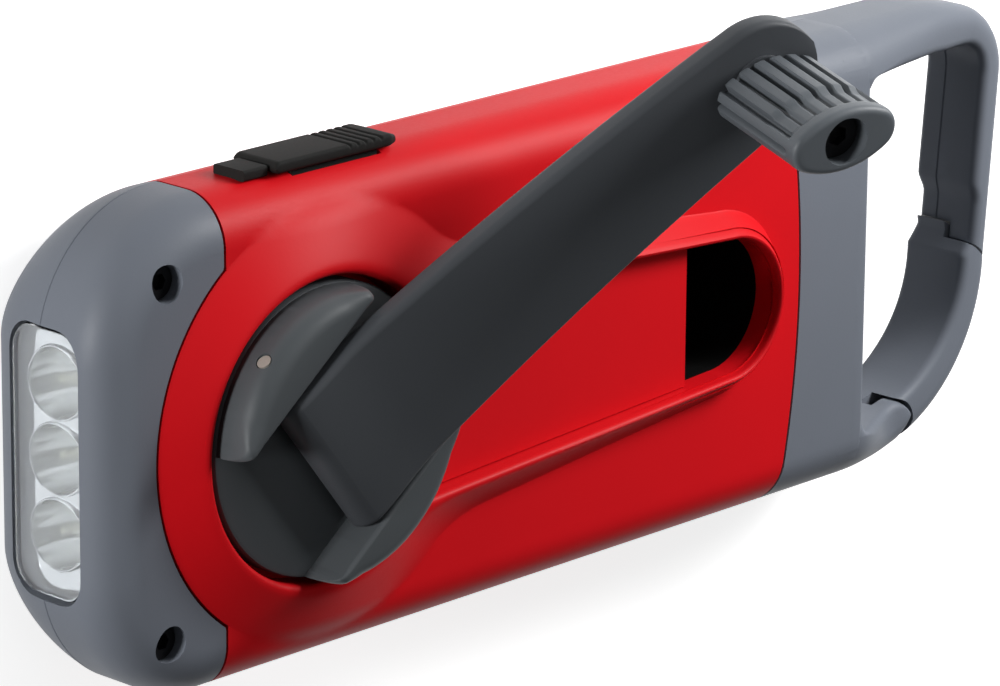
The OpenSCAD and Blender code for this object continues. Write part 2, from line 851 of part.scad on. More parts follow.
module carabiner_gate() {
    color(grey) difference() {
        union() {
            intersection() {
                limb_bend(gate_mid, gate_line_r, -gate_hinge_angle, 16);
                gate_sweep(0);
            }
            hinge_disc(limb_w / 2, tongue_z, tongue_z + tongue_t);
        }
        hinge_disc(limb_w / 2 + move_gap, 0, tongue_z);
        hinge_disc(limb_w / 2 + move_gap, tongue_z + tongue_t, 40);
        hinge_disc(gate_pin_r + run_gap, 0, 40);
        spring_leg(spring_wire_r + 0.1, 90 - gate_hinge_angle);
    }
}

module gate_pin() {
    color(steel) hinge_disc(gate_pin_r, limb_z - limb_d / 2 + 0.3, limb_z + limb_d / 2 - 0.3);
}

// One leg of the gate spring, straight out from the pin
module spring_leg(r, a) {
    at(gate_hinge, spring_z + spring_t / 2) rotate([0, 90, a])
        translate([0, 0, gate_pin_r + 2 * spring_wire_r]) cylinder(r = r, h = 4.2);
}

module gate_spring() {
    color(steel) {
        at(gate_hinge, spring_z) difference() {
            cylinder(r = gate_pin_r + run_gap + 4 * spring_wire_r, h = spring_t);
            translate([0, 0, -1]) cylinder(r = gate_pin_r + run_gap, h = spring_t + 2);
        }
        spring_leg(spring_wire_r, 90 - gate_hinge_angle);
        spring_leg(spring_wire_r, 180 - gate_hinge_angle + 90);
    }
}

// The place of the drum's slot, and of the open arm on its hinge
module in_slot() {
    rotate([0, 0, crank_angle]) children();
}

module in_hinge() {
    in_slot() translate([-hinge_offset, 0, hinge_z]) children();
}

module in_arm() {
    in_hinge() rotate([0, -arm_lift, 0]) children();
}

module on_knob_axis() {
    in_arm() translate([arm_len, 0, 0]) children();
}

module crank_drum() {
    color(dark) difference() {
        union() {
            rotate_extrude() {
                translate([0, drum_z]) square([drum_r, ear_z - ear_edge_r - drum_z]);
                translate([0, drum_z]) square([drum_r - ear_edge_r, ear_z - drum_z]);
                translate([drum_r - ear_edge_r, ear_z - ear_edge_r]) circle(ear_edge_r);
            }
            translate([0, 0, bush_z]) cylinder(r = shaft_r, h = drum_z - bush_z + 0.5);
            translate([0, 0, drive_z]) cylinder(r = shaft_r - 0.6, h = drum_z - drive_z);
        }
        in_slot() translate([-big / 2, -slot_w / 2, slot_z]) cube([big, slot_w, big]);
        in_hinge() rotate([90, 0, 0]) cylinder(r = hinge_pin_r, h = big, center = true);
        translate([0, 0, drive_z - 1]) cylinder(r = screw_r, h = 6);
    }
}

module arm_hinge_pin() {
    pin_l = 2 * sqrt(pow(drum_r, 2) - pow(hinge_offset, 2)) - 0.6;
    color(steel) in_hinge() rotate([90, 0, 0]) cylinder(r = hinge_pin_r, h = pin_l, center = true);
}

module bow(r) {
    translate([arm_len / 2, 0, bow_r - arm_bow]) rotate([90, 0, 0])
        cylinder(r = r, h = 2 * arm_w, center = true, $fn = 180);
}

module crank_arm() {
    color(dark) in_arm() difference() {
        union() {
            intersection() {
                translate([0, 0, -20]) linear_extrude(40) {
                    polygon([[0, -arm_w / 2], [arm_len, -arm_tip_r], [arm_len, arm_tip_r], [0, arm_w / 2]]);
                    translate([arm_len, 0]) circle(arm_tip_r);
                }
                difference() {
                    bow(bow_r + arm_t / 2);
                    bow(bow_r - arm_t / 2);
                }
            }
            rotate([90, 0, 0]) cylinder(r = barrel_r, h = arm_w, center = true);
            translate([arm_len, 0, 0]) cylinder(r = pad_r, h = pad_z);
        }
        rotate([90, 0, 0]) cylinder(r = hinge_pin_r + run_gap, h = big, center = true);
        translate([arm_len, 0, -arm_t]) cylinder(r = thread_r, h = 2 * arm_t);
    }
}

// The oval across the knob
module oval() {
    intersection() {
        square([2 * oval_meet, knob_h], center = true);
        translate([0, broad_r - oval_b]) circle(broad_r);
        translate([0, oval_b - broad_r]) circle(broad_r);
    }
    for (s = [-1, 1])
        translate([s * oval_c, 0]) circle(knob_end_r);
}

module knob() {
    rib_pitch = 2 * oval_meet / knob_ribs;
    rib_r = rib_pitch * 0.36;
    color(grey) on_knob_axis() rotate([0, 0, knob_turn]) difference() {
        union() {
            translate([0, 0, knob_z]) linear_extrude(knob_len) oval();
            for (i = [0:knob_ribs - 1], s = [-1, 1]) {
                x = (i - (knob_ribs - 1) / 2) * rib_pitch;
                y = sqrt(pow(broad_r, 2) - x * x) - (broad_r - oval_b);
                translate([x, s * (y + rib_h - rib_r), knob_z + 0.8])
                    cylinder(r = rib_r, h = knob_len - 2.2);
            }
        }
        translate([0, 0, knob_z - 1]) cylinder(r = axle_r + run_gap, h = big);
        translate([0, 0, knob_top - knob_hole_depth]) cylinder(r = knob_hole_r, h = big);
    }
}

module knob_screw() {
    head_z = knob_top - knob_hole_depth + 0.15;
    color("#1c1c1e") on_knob_axis() difference() {
        union() {
            translate([0, 0, -1.2]) cylinder(r = thread_r, h = pad_z + 1.5);
            translate([0, 0, pad_z]) cylinder(r = axle_r, h = head_z - pad_z + 0.5);
            translate([0, 0, head_z]) cylinder(r = knob_hole_r - 0.25, h = 1.5);
        }
        translate([0, 0, head_z + 0.6]) cylinder(r = 1.1, h = 2, $fn = 6);
    }
}

module knob_washer() {
    color(steel) on_knob_axis() translate([0, 0, pad_z]) difference() {
        cylinder(r = pad_r, h = washer_t);
        translate([0, 0, -1]) cylinder(r = axle_r, h = washer_t + 2);
    }
}

module port_cover() {
    plug_t = 1.5;
    color("#2b2d2b") difference() {
        union() {
            translate([-flap_hinge, flap_axis_y, port_z])
                cylinder(r = flap_t / 2, h = flap_w, center = true);
            translate([-flap_hinge, flap_y, port_z - flap_w / 2]) cube([flap_len - 1.2, flap_t, flap_w]);
            translate([-flap_hinge + flap_len - 1.2, flap_y, port_z - flap_w / 2 + 0.6])
                cube([1.2, flap_t * 0.7, flap_w - 1.2]);
            translate([port_x, flap_y - plug_t / 2, port_z])
                cube([mouth_w - 2 * move_gap, plug_t + 0.1, mouth_h - 2 * move_gap], center = true);
        }
        for (i = [0:4])
            translate([8.4 + i, flap_y + flap_t - 0.25, port_z - flap_w / 2 + 1])
                cube([0.45, 1, flap_w - 2]);
    }
}

module port_cover_tether() {
    x1 = -flap_hinge - flap_t / 2 - move_gap;
    color("#2b2d2b") translate([x1 - tether_len, half_w, port_z - tether_w / 2])
        cube([tether_len, flap_t * 0.8, tether_w]);
}

module lens() {
    color("#dfe6ea") {
        along_x(lens_x - wall + lens_drop, lens_x) translate([0, window_z])
            round_rect(window_w - 2 * lens_gap, window_h - 2 * lens_gap, window_r - lens_gap);
        along_x(lens_x, lens_x + flange_w)
            translate([0, window_z]) round_rect(window_w + 2, flange_h, flange_r);
    }
}

module each_led() {
    for (i = [0:led_count - 1])
        translate([0, (i - (led_count - 1) / 2) * led_pitch, window_z]) children();
}

module reflector() {
    color("#d8dade") difference() {
        along_x(reflector_x, reflector_x + reflector_l)
            translate([0, window_z]) round_rect(window_w + 0.4, lamp_h, window_r);
        each_led() {
            translate([reflector_x, 0, 0]) rotate([0, 90, 0])
                cylinder(r1 = cup_r, r2 = led_hole_r, h = reflector_l - 1.2);
            translate([reflector_x - 1, 0, 0]) rotate([0, 90, 0])
                cylinder(r = led_hole_r, h = reflector_l + 2);
        }
    }
}

module leds() {
    stem = 2.4;
    color("#f4f2d8") each_led() {
        translate([led_board_x - stem, 0, 0]) rotate([0, 90, 0]) cylinder(r = led_r, h = stem);
        intersection() {
            translate([led_board_x - stem, 0, 0]) sphere(led_r);
            translate([led_board_x - stem - led_r, -led_r, -led_r]) cube([led_r, 2 * led_r, 2 * led_r]);
        }
    }
}

module led_board() {
    color(board_green) translate([led_board_x, -led_board_w / 2, window_z - lamp_h / 2])
        cube([board_t, led_board_w, lamp_h]);
}

module socket_drive(z0) {
    translate([0, 0, z0]) cylinder(r = 0.9, h = 0.9, $fn = 6);
}

module head_screws() {
    color("#161618") for (s = [-1, 1])
        at([-head_screw_x, s * head_screw_y], 0) difference() {
            screw(head_seat_z, wall + 1.4);
            socket_drive(head_seat_z + screw_head_t - 0.8);
        }
}

module case_screws() {
    color("#161618") for (p = case_screws_at)
        at(p, 0) difference() {
            screw(case_seat_z, case_tip_z - 0.4);
            socket_drive(case_seat_z - screw_head_t - 0.1);
        }
}

module tail_screws() {
    color("#161618") for (s = [-1, 1])
        at([tail_screw_x, s * tail_screw_y], 0) difference() {
            screw(case_seat_z, case_tip_z - 0.4);
            socket_drive(case_seat_z - screw_head_t - 0.1);
        }
}

module power_button() {
    slip = 0.15;
    color(dark) translate([button_x, 0, button_z]) rotate([-90, 0, 0]) {
        translate([0, 0, -half_w - button_proud]) linear_extrude(button_proud + wall + 0.4)
            round_rect(button_l - 2 * slip, button_h - 2 * slip, 1.4 - slip);
        translate([0, 0, -half_w + wall + 0.3]) linear_extrude(button_flange)
            round_rect(button_l + 2 * flange_lap, button_h + 2 * flange_lap, 1.4);
    }
}

module power_switch() {
    color("#2a2a2c") {
        translate([button_x - switch_w / 2, switch_y - switch_h, button_z - switch_w / 2])
            cube([switch_w, switch_h, switch_w]);
        translate([button_x, stem_y, button_z]) rotate([-90, 0, 0]) cylinder(r = 1.5, h = stem_l + 0.5);
    }
}

module switch_board() {
    color(board_green) translate([button_x - switch_plate_w / 2, switch_y, button_z - switch_plate_h / 2])
        cube([switch_plate_w, board_t, switch_plate_h]);
}

module main_board() {
    color(board_green) difference() {
        translate([board_x, board_y, board_top_z - board_t]) cube([board_l, board_w, board_t]);
        for (p = board_screws_at)
            at(p, 0) cylinder(r = screw_r + 0.2, h = big);
    }
}

module board_screws() {
    color(steel) for (p = board_screws_at)
        at(p, 0) screw(board_top_z + fit_gap, wall + 2);
}

module usb_socket() {
    tongue_w = socket_w - 2.4;
    tongue_h = 1.8;
    color(steel) translate([port_x - socket_w / 2, socket_back_y, port_z - socket_h / 2]) {
        difference() {
            cube([socket_w, socket_l, socket_h]);
            translate([socket_sheet, 1, socket_sheet])
                cube([socket_w - 2 * socket_sheet, socket_l, socket_h - 2 * socket_sheet]);
        }
        translate([1.2, 0.5, socket_h - socket_sheet - tongue_h - 0.6])
            cube([tongue_w, socket_l - 2.4, tongue_h]);
    }
}

module battery_cells() {
    color("#3a6ea8") for (i = [0:cell_count - 1])
        translate([cell_x, (i - cell_count / 2) * (cell_l + fit_gap), cell_z]) rotate([-90, 0, 0])
            cylinder(r = cell_r, h = cell_l);
}

module battery_tabs() {
    color(steel) for (s = [-1, 1])
        translate([cell_x - 2, s * (cell_pack_l / 2 + tab_sheet / 2) - tab_sheet / 2, cell_z - 4])
            cube([4, tab_sheet, 8]);
}

module crank_bush() {
    color(brass) translate([0, 0, bush_z]) difference() {
        cylinder(r = bush_r, h = well_z - bush_z);
        translate([0, 0, -1]) cylinder(r = shaft_r + run_gap, h = well_z - bush_z + 2);
    }
}

// Involute teeth: the half angle of a tooth at radius r, and the outline of a whole gear
function involute(a) = tan(a) * 180 / PI - a;
function tooth_half(teeth, r) =
    let (rp = pitch_r(teeth), base = rp * cos(pressure_angle))
    90 / teeth - backlash / 2 / rp * 90 / PI + involute(pressure_angle) - involute(acos(min(1, base / r)));
function tooth_radii(teeth) =
    let (rp = pitch_r(teeth), root = rp - 1.15 * gear_module, base = rp * cos(pressure_angle))
    [root, max(root + 0.1, base), rp, rp + 0.9 * gear_module];
function gear_outline(teeth) = [
    for (i = [0:teeth - 1], side = [-1, 1], j = [0:3])
        let (radii = tooth_radii(teeth), r = radii[side < 0 ? j : 3 - j])
        polar(r, i * 360 / teeth + side * tooth_half(teeth, r))
];

// A gear whose tooth, or gap between teeth, points along an angle
module toothed(teeth, z0, h, angle, gap_first) {
    translate([0, 0, z0]) rotate([0, 0, angle + (gap_first ? 180 / teeth : 0)])
        linear_extrude(h) polygon(gear_outline(teeth));
}

module drive_gear() {
    color("#e4e0d0") difference() {
        toothed(drive_teeth, drive_z, gear_t, first_angle, false);
        translate([0, 0, drive_z - 1]) cylinder(r = shaft_r - 0.6, h = gear_t + 2);
    }
}

module drive_screw() {
    color(steel) screw(drive_z, drive_z + 4.6);
}

module first_gear() {
    color("#e4e0d0") at(first_pos, 0) difference() {
        union() {
            toothed(first_teeth, first_z, gear_t, second_angle, false);
            toothed(pinion_teeth, first_z + gear_t, drive_z - first_z, first_angle + 180, true);
        }
        cylinder(r = gear_pin_r + run_gap, h = big);
    }
}

module second_gear() {
    color("#e4e0d0") at(second_pos, 0) difference() {
        union() {
            toothed(second_teeth, second_z, gear_t, rotor_angle, false);
            toothed(pinion_teeth, second_z + gear_t, first_z - second_z, second_angle + 180, true);
        }
        cylinder(r = gear_pin_r + run_gap, h = big);
    }
}

module rotor_hub() {
    hub_z = wall + 2 * move_gap;
    color("#e4e0d0") at(rotor_pos, 0) difference() {
        union() {
            translate([0, 0, hub_z]) cylinder(r = hub_r, h = second_z - hub_z);
            toothed(pinion_teeth, second_z - 0.2, gear_t + 0.4, rotor_angle + 180, true);
        }
        cylinder(r = gear_pin_r + run_gap, h = big);
    }
}

module rotor_magnet() {
    magnet_z = wall + 0.9;
    color("#55585e") at(rotor_pos, magnet_z) difference() {
        cylinder(r = magnet_r, h = second_z - 0.6 - magnet_z);
        translate([0, 0, -1]) cylinder(r = hub_r + fit_gap, h = 10);
    }
}

// The stator: a steel ring with a flange at each end, and the coil wound between the flanges
module stator_core() {
    color("#8a8d92") at(rotor_pos, stator_z) difference() {
        cylinder(r = stator_r, h = core_h);
        translate([0, 0, -1]) cylinder(r = core_r, h = 20);
        translate([0, 0, core_flange]) difference() {
            cylinder(r = stator_r + 1, h = core_h - 2 * core_flange);
            translate([0, 0, -1]) cylinder(r = core_r + core_wall, h = 20);
        }
    }
}

module stator_coil() {
    color("#b86b34") at(rotor_pos, stator_z + core_flange + fit_gap) difference() {
        cylinder(r = stator_r - 0.2, h = core_h - 2 * core_flange - 2 * fit_gap);
        translate([0, 0, -1]) cylinder(r = core_r + core_wall + fit_gap, h = 20);
    }
}

module gear_pins() {
    color(steel) {
        at(first_pos, wall / 2) cylinder(r = gear_pin_r, h = well_under_z + 0.5 - wall / 2);
        for (p = [second_pos, rotor_pos])
            at(p, wall / 2) cylinder(r = gear_pin_r, h = well_under_z - 0.6 - wall / 2);
    }
}

// A wire swept along its points: one ring of sides at each point, square to the run there
function unit(v) = v / norm(v);
function run_at(pts, i) =
    let (back = unit(pts[max(i, 1)] - pts[max(i, 1) - 1]), n = min(i, len(pts) - 2))
    unit(back + unit(pts[n + 1] - pts[n]));
function wire_ring(c, run) =
    let (u = unit(cross(run, [1, 0.2, 1])), v = cross(run, u))
    [for (j = [0:wire_sides - 1])
        let (p = polar(wire_r, 360 * j / wire_sides)) c + p[0] * u + p[1] * v];

module wire(points) {
    last = len(points) - 1;
    n = wire_sides;
    rings = [for (i = [0:last]) each wire_ring(points[i], run_at(points, i))];
    sides = [for (i = [0:last - 1], j = [0:n - 1], k = [0, 1])
        let (a = i * n + j, b = i * n + (j + 1) % n)
        k == 0 ? [a, a + n, b + n] : [a, b + n, b]];
    ends = [for (j = [1:n - 2], e = [0, last * n])
        e == 0 ? [0, j, j + 1] : [e, e + j + 1, e + j]];
    polyhedron(rings, concat(sides, ends));
}

// Pairs of wires from the lamps, the battery and the switch to the main board
module inner_wires() {
    board_under = board_top_z - board_t - fit_gap;
    led_back = led_board_x + board_t + fit_gap;
    cell_end = cell_pack_l / 2 + tab_sheet + fit_gap;
    switch_back = switch_y + board_t + fit_gap;
    color("#b02a2a") for (k = [0, 1]) {
        lamp_y = 8 - 1.6 * k;
        wire([[led_back, lamp_y, 6], [led_back + 1.5, lamp_y, 6], [-10, lamp_y + 4, 6],
            [-1, lamp_y + 7.5, 6], [-1, lamp_y + 7.5, board_under]]);
        cell_y = 13 + 1.6 * k;
        wire([[cell_x - 1 + 2 * k, cell_end, cell_z], [cell_x - 1 + 2 * k, cell_end + 1.2, cell_z],
            [cell_x - 3 + 2 * k, cell_y, 7],
            [28 + 2 * k, cell_y, 6], [28 + 2 * k, cell_y, board_under]]);
        switch_z = 11 + 1.8 * k;
        wire([[button_x + 3, switch_back, switch_z], [button_x + 3, switch_back + 1.2, switch_z],
            [button_x + 7, switch_back + 4, switch_z], [button_x + 7, 8, switch_z],
            [31 - 2 * k, board_y + 1.8, switch_z], [31 - 2 * k, board_y + 1.8, board_top_z + fit_gap]]);
    }
}

front_shell();
rear_shell();
head_cover_front();
head_cover_rear();
tail_front();
tail_rear();
carabiner_gate();
gate_pin();
gate_spring();
crank_drum();
arm_hinge_pin();
crank_arm();
knob();
knob_screw();
knob_washer();
port_cover();
port_cover_tether();
lens();
reflector();
leds();
led_board();
head_screws();
case_screws();
tail_screws();
power_button();
power_switch();
switch_board();
main_board();
board_screws();
usb_socket();
battery_cells();
battery_tabs();
crank_bush();
drive_gear();
drive_screw();
first_gear();
second_gear();
gear_pins();
rotor_hub();
rotor_magnet();
stator_core();
stator_coil();
inner_wires();
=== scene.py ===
"""Hand crank flashlight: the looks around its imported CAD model.

Every length below is in millimetres in the model's own frame: X runs from the lamp window to the
carabiner, Y to the narrow side with the port cover, Z out of the crank side. The back lies on Z = 0.
"""
import math

import bmesh
import bpy
import numpy as np
from mathutils import Matrix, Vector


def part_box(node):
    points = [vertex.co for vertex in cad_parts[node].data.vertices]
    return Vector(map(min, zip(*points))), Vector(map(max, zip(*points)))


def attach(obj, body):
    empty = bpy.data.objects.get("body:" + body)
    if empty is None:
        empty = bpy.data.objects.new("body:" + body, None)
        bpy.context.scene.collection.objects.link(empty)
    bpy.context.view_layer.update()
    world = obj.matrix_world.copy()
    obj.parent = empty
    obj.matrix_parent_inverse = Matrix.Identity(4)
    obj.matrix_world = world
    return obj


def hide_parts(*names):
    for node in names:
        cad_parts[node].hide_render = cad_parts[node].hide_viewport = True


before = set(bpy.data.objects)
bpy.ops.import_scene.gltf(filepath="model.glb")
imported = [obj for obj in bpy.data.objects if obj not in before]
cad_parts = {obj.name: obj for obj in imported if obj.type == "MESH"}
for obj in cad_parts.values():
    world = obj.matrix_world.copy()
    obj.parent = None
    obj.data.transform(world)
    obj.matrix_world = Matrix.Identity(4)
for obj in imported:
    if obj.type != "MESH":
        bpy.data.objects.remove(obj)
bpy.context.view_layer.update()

MM = 0.001
scene = bpy.context.scene
scene.view_settings.view_transform = "Standard"


# Camera, floor and lamps. The camera stands where the picture was taken from, in front of the lamp
# window and above the port cover's side. The floor is plain and pale, and the light is large and soft.
camera = bpy.data.objects.new("camera", bpy.data.cameras.new("camera"))
scene.collection.objects.link(camera)
scene.camera = camera
camera.data.lens = 210.02
camera.data.sensor_width = 36.0
camera.data.clip_end = 20.0
camera_place = (-390.5, 177.6, 419.3)
camera_right = (0.69324, 0.00783, 0.72067)
camera_up = (0.20326, 0.95723, -0.20592)
camera_back = (-0.69145, 0.28924, 0.66199)
turn = np.eye(4)
turn[:3, 0], turn[:3, 1], turn[:3, 2] = camera_right, camera_up, camera_back
turn[:3, 3] = np.array(camera_place) * MM
camera.matrix_world = Matrix(turn.tolist())


def linear(hex_colour):
    """Turns an sRGB hex colour into linear RGBA."""
    c = np.array([int(hex_colour[i:i + 2], 16) for i in (1, 3, 5)]) / 255.0
    c = np.where(c <= 0.04045, c / 12.92, ((c + 0.055) / 1.055) ** 2.4)
    return (*c.tolist(), 1.0)


def add(tree, kind, inputs=(), **settings):
    """Adds a node with its settings; an input is a value or another node's output."""
    made = tree.nodes.new(kind)
    for key, value in settings.items():
        setattr(made, key, value)
    for key, value in dict(inputs).items():
        if isinstance(value, bpy.types.NodeSocket):
            tree.links.new(value, made.inputs[key])
        else:
            made.inputs[key].default_value = value
    return made


def new_material(name):
    """An empty node material, its tree and its output node."""
    material = bpy.data.materials.new(name)
    material.use_nodes = True
    material.node_tree.nodes.clear()
    return material, material.node_tree, add(material.node_tree, "ShaderNodeOutputMaterial")


def link_piece(name, mesh, material):
    """Puts a mesh into the scene as a piece of one material."""
    piece = bpy.data.objects.new(name, mesh)
    mesh.materials.append(material)
    scene.collection.objects.link(piece)
    return piece


# White to the camera and in reflections, so that the ground vanishes; dim in the light that it sends back
# to the object, so that the undersides stay dark.
floor_material, tree, out = new_material("pale_paper_floor")
light_path = add(tree, "ShaderNodeLightPath")
seen = add(tree, "ShaderNodeMath", {0: light_path.outputs["Is Camera Ray"],
                                    1: light_path.outputs["Is Glossy Ray"]}, operation="MAXIMUM")
seen = add(tree, "ShaderNodeMath", {0: seen.outputs[0],
                                    1: light_path.outputs["Is Transmission Ray"]}, operation="MAXIMUM")
paper = add(tree, "ShaderNodeBsdfDiffuse", {"Color": (0.8, 0.8, 0.8, 1)})
dim_paper = add(tree, "ShaderNodeBsdfDiffuse", {"Color": (0.35, 0.35, 0.35, 1)})
glow = add(tree, "ShaderNodeEmission", {"Color": (1, 1, 1, 1), "Strength": 0.75})
lit = add(tree, "ShaderNodeAddShader", {0: paper.outputs[0], 1: glow.outputs[0]})
mix = add(tree, "ShaderNodeMixShader", {0: seen.outputs[0], 1: dim_paper.outputs[0], 2: lit.outputs[0]})
tree.links.new(mix.outputs[0], out.inputs["Surface"])
floor_half = 6000.0
floor_corners = floor_half * MM * np.array([(-1, -1, 0), (1, -1, 0), (1, 1, 0), (-1, 1, 0)])
floor_mesh = bpy.data.meshes.new("floor")
floor_mesh.from_pydata(floor_corners.tolist(), [], [(0, 1, 2, 3)])
floor = link_piece("floor", floor_mesh, floor_material)

world = bpy.data.worlds.new("studio")
scene.world = world
world.use_nodes = True
world.node_tree.nodes["Background"].inputs["Color"].default_value = (1, 1, 1, 1)
world.node_tree.nodes["Background"].inputs["Strength"].default_value = 0.09


def lamp(name, place, aim, size, power):
    """A square soft box at a place, facing a point, its power in watts."""
    box = bpy.data.objects.new(name, bpy.data.lights.new(name, "AREA"))
    box.data.size = size * MM
    box.data.energy = power
    box.visible_camera = False
    back = np.array(place, float) - np.array(aim, float)
    back /= np.linalg.norm(back)
    side = np.cross((0.0, 0.0, 1.0), back)
    side /= np.linalg.norm(side)
    m = np.eye(4)
    m[:3, 0], m[:3, 1], m[:3, 2] = side, np.cross(back, side), back
    m[:3, 3] = np.array(place) * MM
    box.matrix_world = Matrix(m.tolist())
    scene.collection.objects.link(box)


lamp("key_box", (200, 150, 165), (40, 0, 15), 100, 0.9)
lamp("top_box", (260, 500, 170), (40, 0, 10), 240, 0.3)
lamp("front_box", (-420, 70, 40), (-28, 0, 10), 70, 1.5)
lamp("camera_box", (-120, 160, 560), (30, 0, 10), 300, 0.2)


# Front shell: the red moulded cover of the crank side, in satin ABS. The ring round the drum and the
# boss round the arm's recess rise out of its face in one soft slope, and its rim has a rounded lip.
half_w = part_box("rear_shell")[1][1] / MM
rim_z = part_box("front_shell")[1][2] / MM
part_play = 0.05
part_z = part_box("rear_shell")[1][2] / MM + part_play
face_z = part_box("tail_front")[1][2] / MM
edge_r = 5.3
flat_y = half_w - edge_r
head_seam_x = -11.7
lug_x, lug_r = 2.2, 23.2
lug_y = math.sqrt(lug_r ** 2 - (head_seam_x - lug_x) ** 2)
tail_seam_x, tail_seam_r = 74.7, 109.6
seam_gap = 0.16
well_r = 16.0
recess_x, recess_r, recess_taper = 60.8, 7.7, 0.061
boss_r, boss_taper = 10.5, 0.105
recess_floor_z, well_floor_z = 19.8, 18.3
pocket_x = 55.5
lip_r = 0.7
slope_start, slope_end, slope_soft, corner_soft = 0.14, 0.97, 0.06, 0.5
far_off = 100.0
merge_reach, sliver_reach = 0.002, 0.0001
sharp_angle = math.radians(38)


def tail_seam(y):
    """X of the bowed joint between body and tail: a circle of tail_seam_r through tail_seam_x."""
    return tail_seam_x - tail_seam_r + np.sqrt(tail_seam_r ** 2 - np.asarray(y, float) ** 2)


def soft_ramp(x, w):
    """0 below 0, 1 above 1 and straight between, both corners rounded over about w."""

    def bent(v):
        return (v + np.sqrt(v * v + w * w)) / 2

    return np.clip((bent(x) - bent(x - 1)) / (bent(1.0) - bent(0.0)), 0, 1)


def recess_half(x):
    """Half width of the arm's recess, wider towards the crank."""
    return recess_r + recess_taper * (recess_x - x)


def from_edge(x, y):
    """Distances outwards from the well's edge and from the recess's edge, which starts at the crank axis."""
    ring = np.hypot(x, y) - well_r
    side = (np.abs(y) - recess_half(x)) / math.sqrt(1 + recess_taper ** 2)
    side = np.where(x < recess_x, side, np.hypot(x - recess_x, y) - recess_r)
    return ring, np.where(x > 0, side, far_off)


def slope_share(x, y):
    """0 at the rim's edge and 1 at the foot of the slope, which on the ring is the lug's circle.

    The two distances, each as a share of its slope, are joined by a soft minimum of width
    corner_soft, which fills the corner between ring and boss.
    """
    ring, side = from_edge(x, y)
    a = ring / (ring + lug_r - np.hypot(x - lug_x, y))
    b = side / (boss_r - recess_r + (boss_taper - recess_taper) * np.maximum(recess_x - x, 0))
    h = np.clip(0.5 + 0.5 * (b - a) / corner_soft, 0, 1)
    return b * (1 - h) + a * h - corner_soft * h * (1 - h)


def crest_height(x, y):
    """Height of the front: the face, plus a slope that falls from the rim to the foot.

    A quarter circle rounds the lip at the edge.
    """
    down = (slope_share(x, y) - slope_start) / (slope_end - slope_start)
    z = face_z + (rim_z - face_z) * (1 - soft_ramp(down, slope_soft))
    d = np.clip(np.minimum(*from_edge(x, y)), 0, lip_r)
    return z - (lip_r - np.sqrt(lip_r ** 2 - (lip_r - d) ** 2))


def steps(a, b, n):
    """n even steps from a to b, without b."""
    return a + (b - a) * np.arange(n) / n


def grid_faces(nu, nv, wrap):
    """Quads of a grid of nu by nv points; wrap closes it along u."""
    i, j = np.meshgrid(np.arange(nu if wrap else nu - 1), np.arange(nv - 1), indexing="ij")
    k = (i + 1) % nu
    return np.stack([i * nv + j, k * nv + j, k * nv + j + 1, i * nv + j + 1], -1).reshape(-1, 4)


def piece_mesh(name, grids, outwards=True):
    """One mesh from grids (points in mm, wrapped along u or not), joined where they meet.

    Points within merge_reach become one and slivers under sliver_reach go. The faces are turned
    outwards or inwards, and corners over sharp_angle stay sharp.
    """
    points, faces, start = [], [], 0
    for grid, wrap in grids:
        nu, nv = grid.shape[:2]
        points.append(grid.reshape(-1, 3))
        faces.append(grid_faces(nu, nv, wrap) + start)
        start += nu * nv
    mesh = bpy.data.meshes.new(name)
    mesh.from_pydata((np.concatenate(points) * MM).tolist(), [], np.concatenate(faces).tolist())
    work = bmesh.new()
    work.from_mesh(mesh)
    bmesh.ops.remove_doubles(work, verts=work.verts, dist=merge_reach * MM)
    bmesh.ops.dissolve_degenerate(work, dist=sliver_reach * MM, edges=work.edges)
    bmesh.ops.recalc_face_normals(work, faces=work.faces)
    work.to_mesh(mesh)
    work.free()
    count = len(mesh.polygons)
    centre, normal, area = np.zeros((count, 3)), np.zeros((count, 3)), np.zeros(count)
    mesh.polygons.foreach_get("center", centre.ravel())
    mesh.polygons.foreach_get("normal", normal.ravel())
    mesh.polygons.foreach_get("area", area)
    facing = (normal * (centre - centre.mean(axis=0))).sum(axis=1) @ area
    if (facing < 0) == outwards:
        mesh.flip_normals()
    mesh.shade_smooth()
    mesh.set_sharp_from_angle(angle=sharp_angle)
    return mesh


def shaped_piece(name, grids, material, outwards=True):
    """A piece of one material from grids, as piece_mesh takes them."""
    return link_piece(name, piece_mesh(name, grids, outwards), material)


def applied(piece):
    """Gives a piece the mesh that its modifiers make, and drops them."""
    made = bpy.data.meshes.new_from_object(piece.evaluated_get(bpy.context.evaluated_depsgraph_get()))
    piece.modifiers.clear()
    piece.data = made
    made.set_sharp_from_angle(angle=sharp_angle)


def walled(piece, thickness):
    """Gives a sheet its wall, inwards from the faces."""
    wall = piece.modifiers.new("wall", "SOLIDIFY")
    wall.thickness = thickness * MM
    wall.offset = -1
    applied(piece)


def cut_out(piece, meshes, operation="DIFFERENCE", crossing=False):
    """Cuts closed shapes out of a piece, or joins or intersects them with it.

    crossing is for a piece whose own walls cross at its corners.
    """
    for mesh in meshes:
        tool = bpy.data.objects.new("tool", mesh)
        scene.collection.objects.link(tool)
        cut = piece.modifiers.new("cut", "BOOLEAN")
        cut.operation, cut.solver, cut.object = operation, "EXACT", tool
        cut.use_self = cut.use_hole_tolerant = crossing
        applied(piece)
        bpy.data.objects.remove(tool)


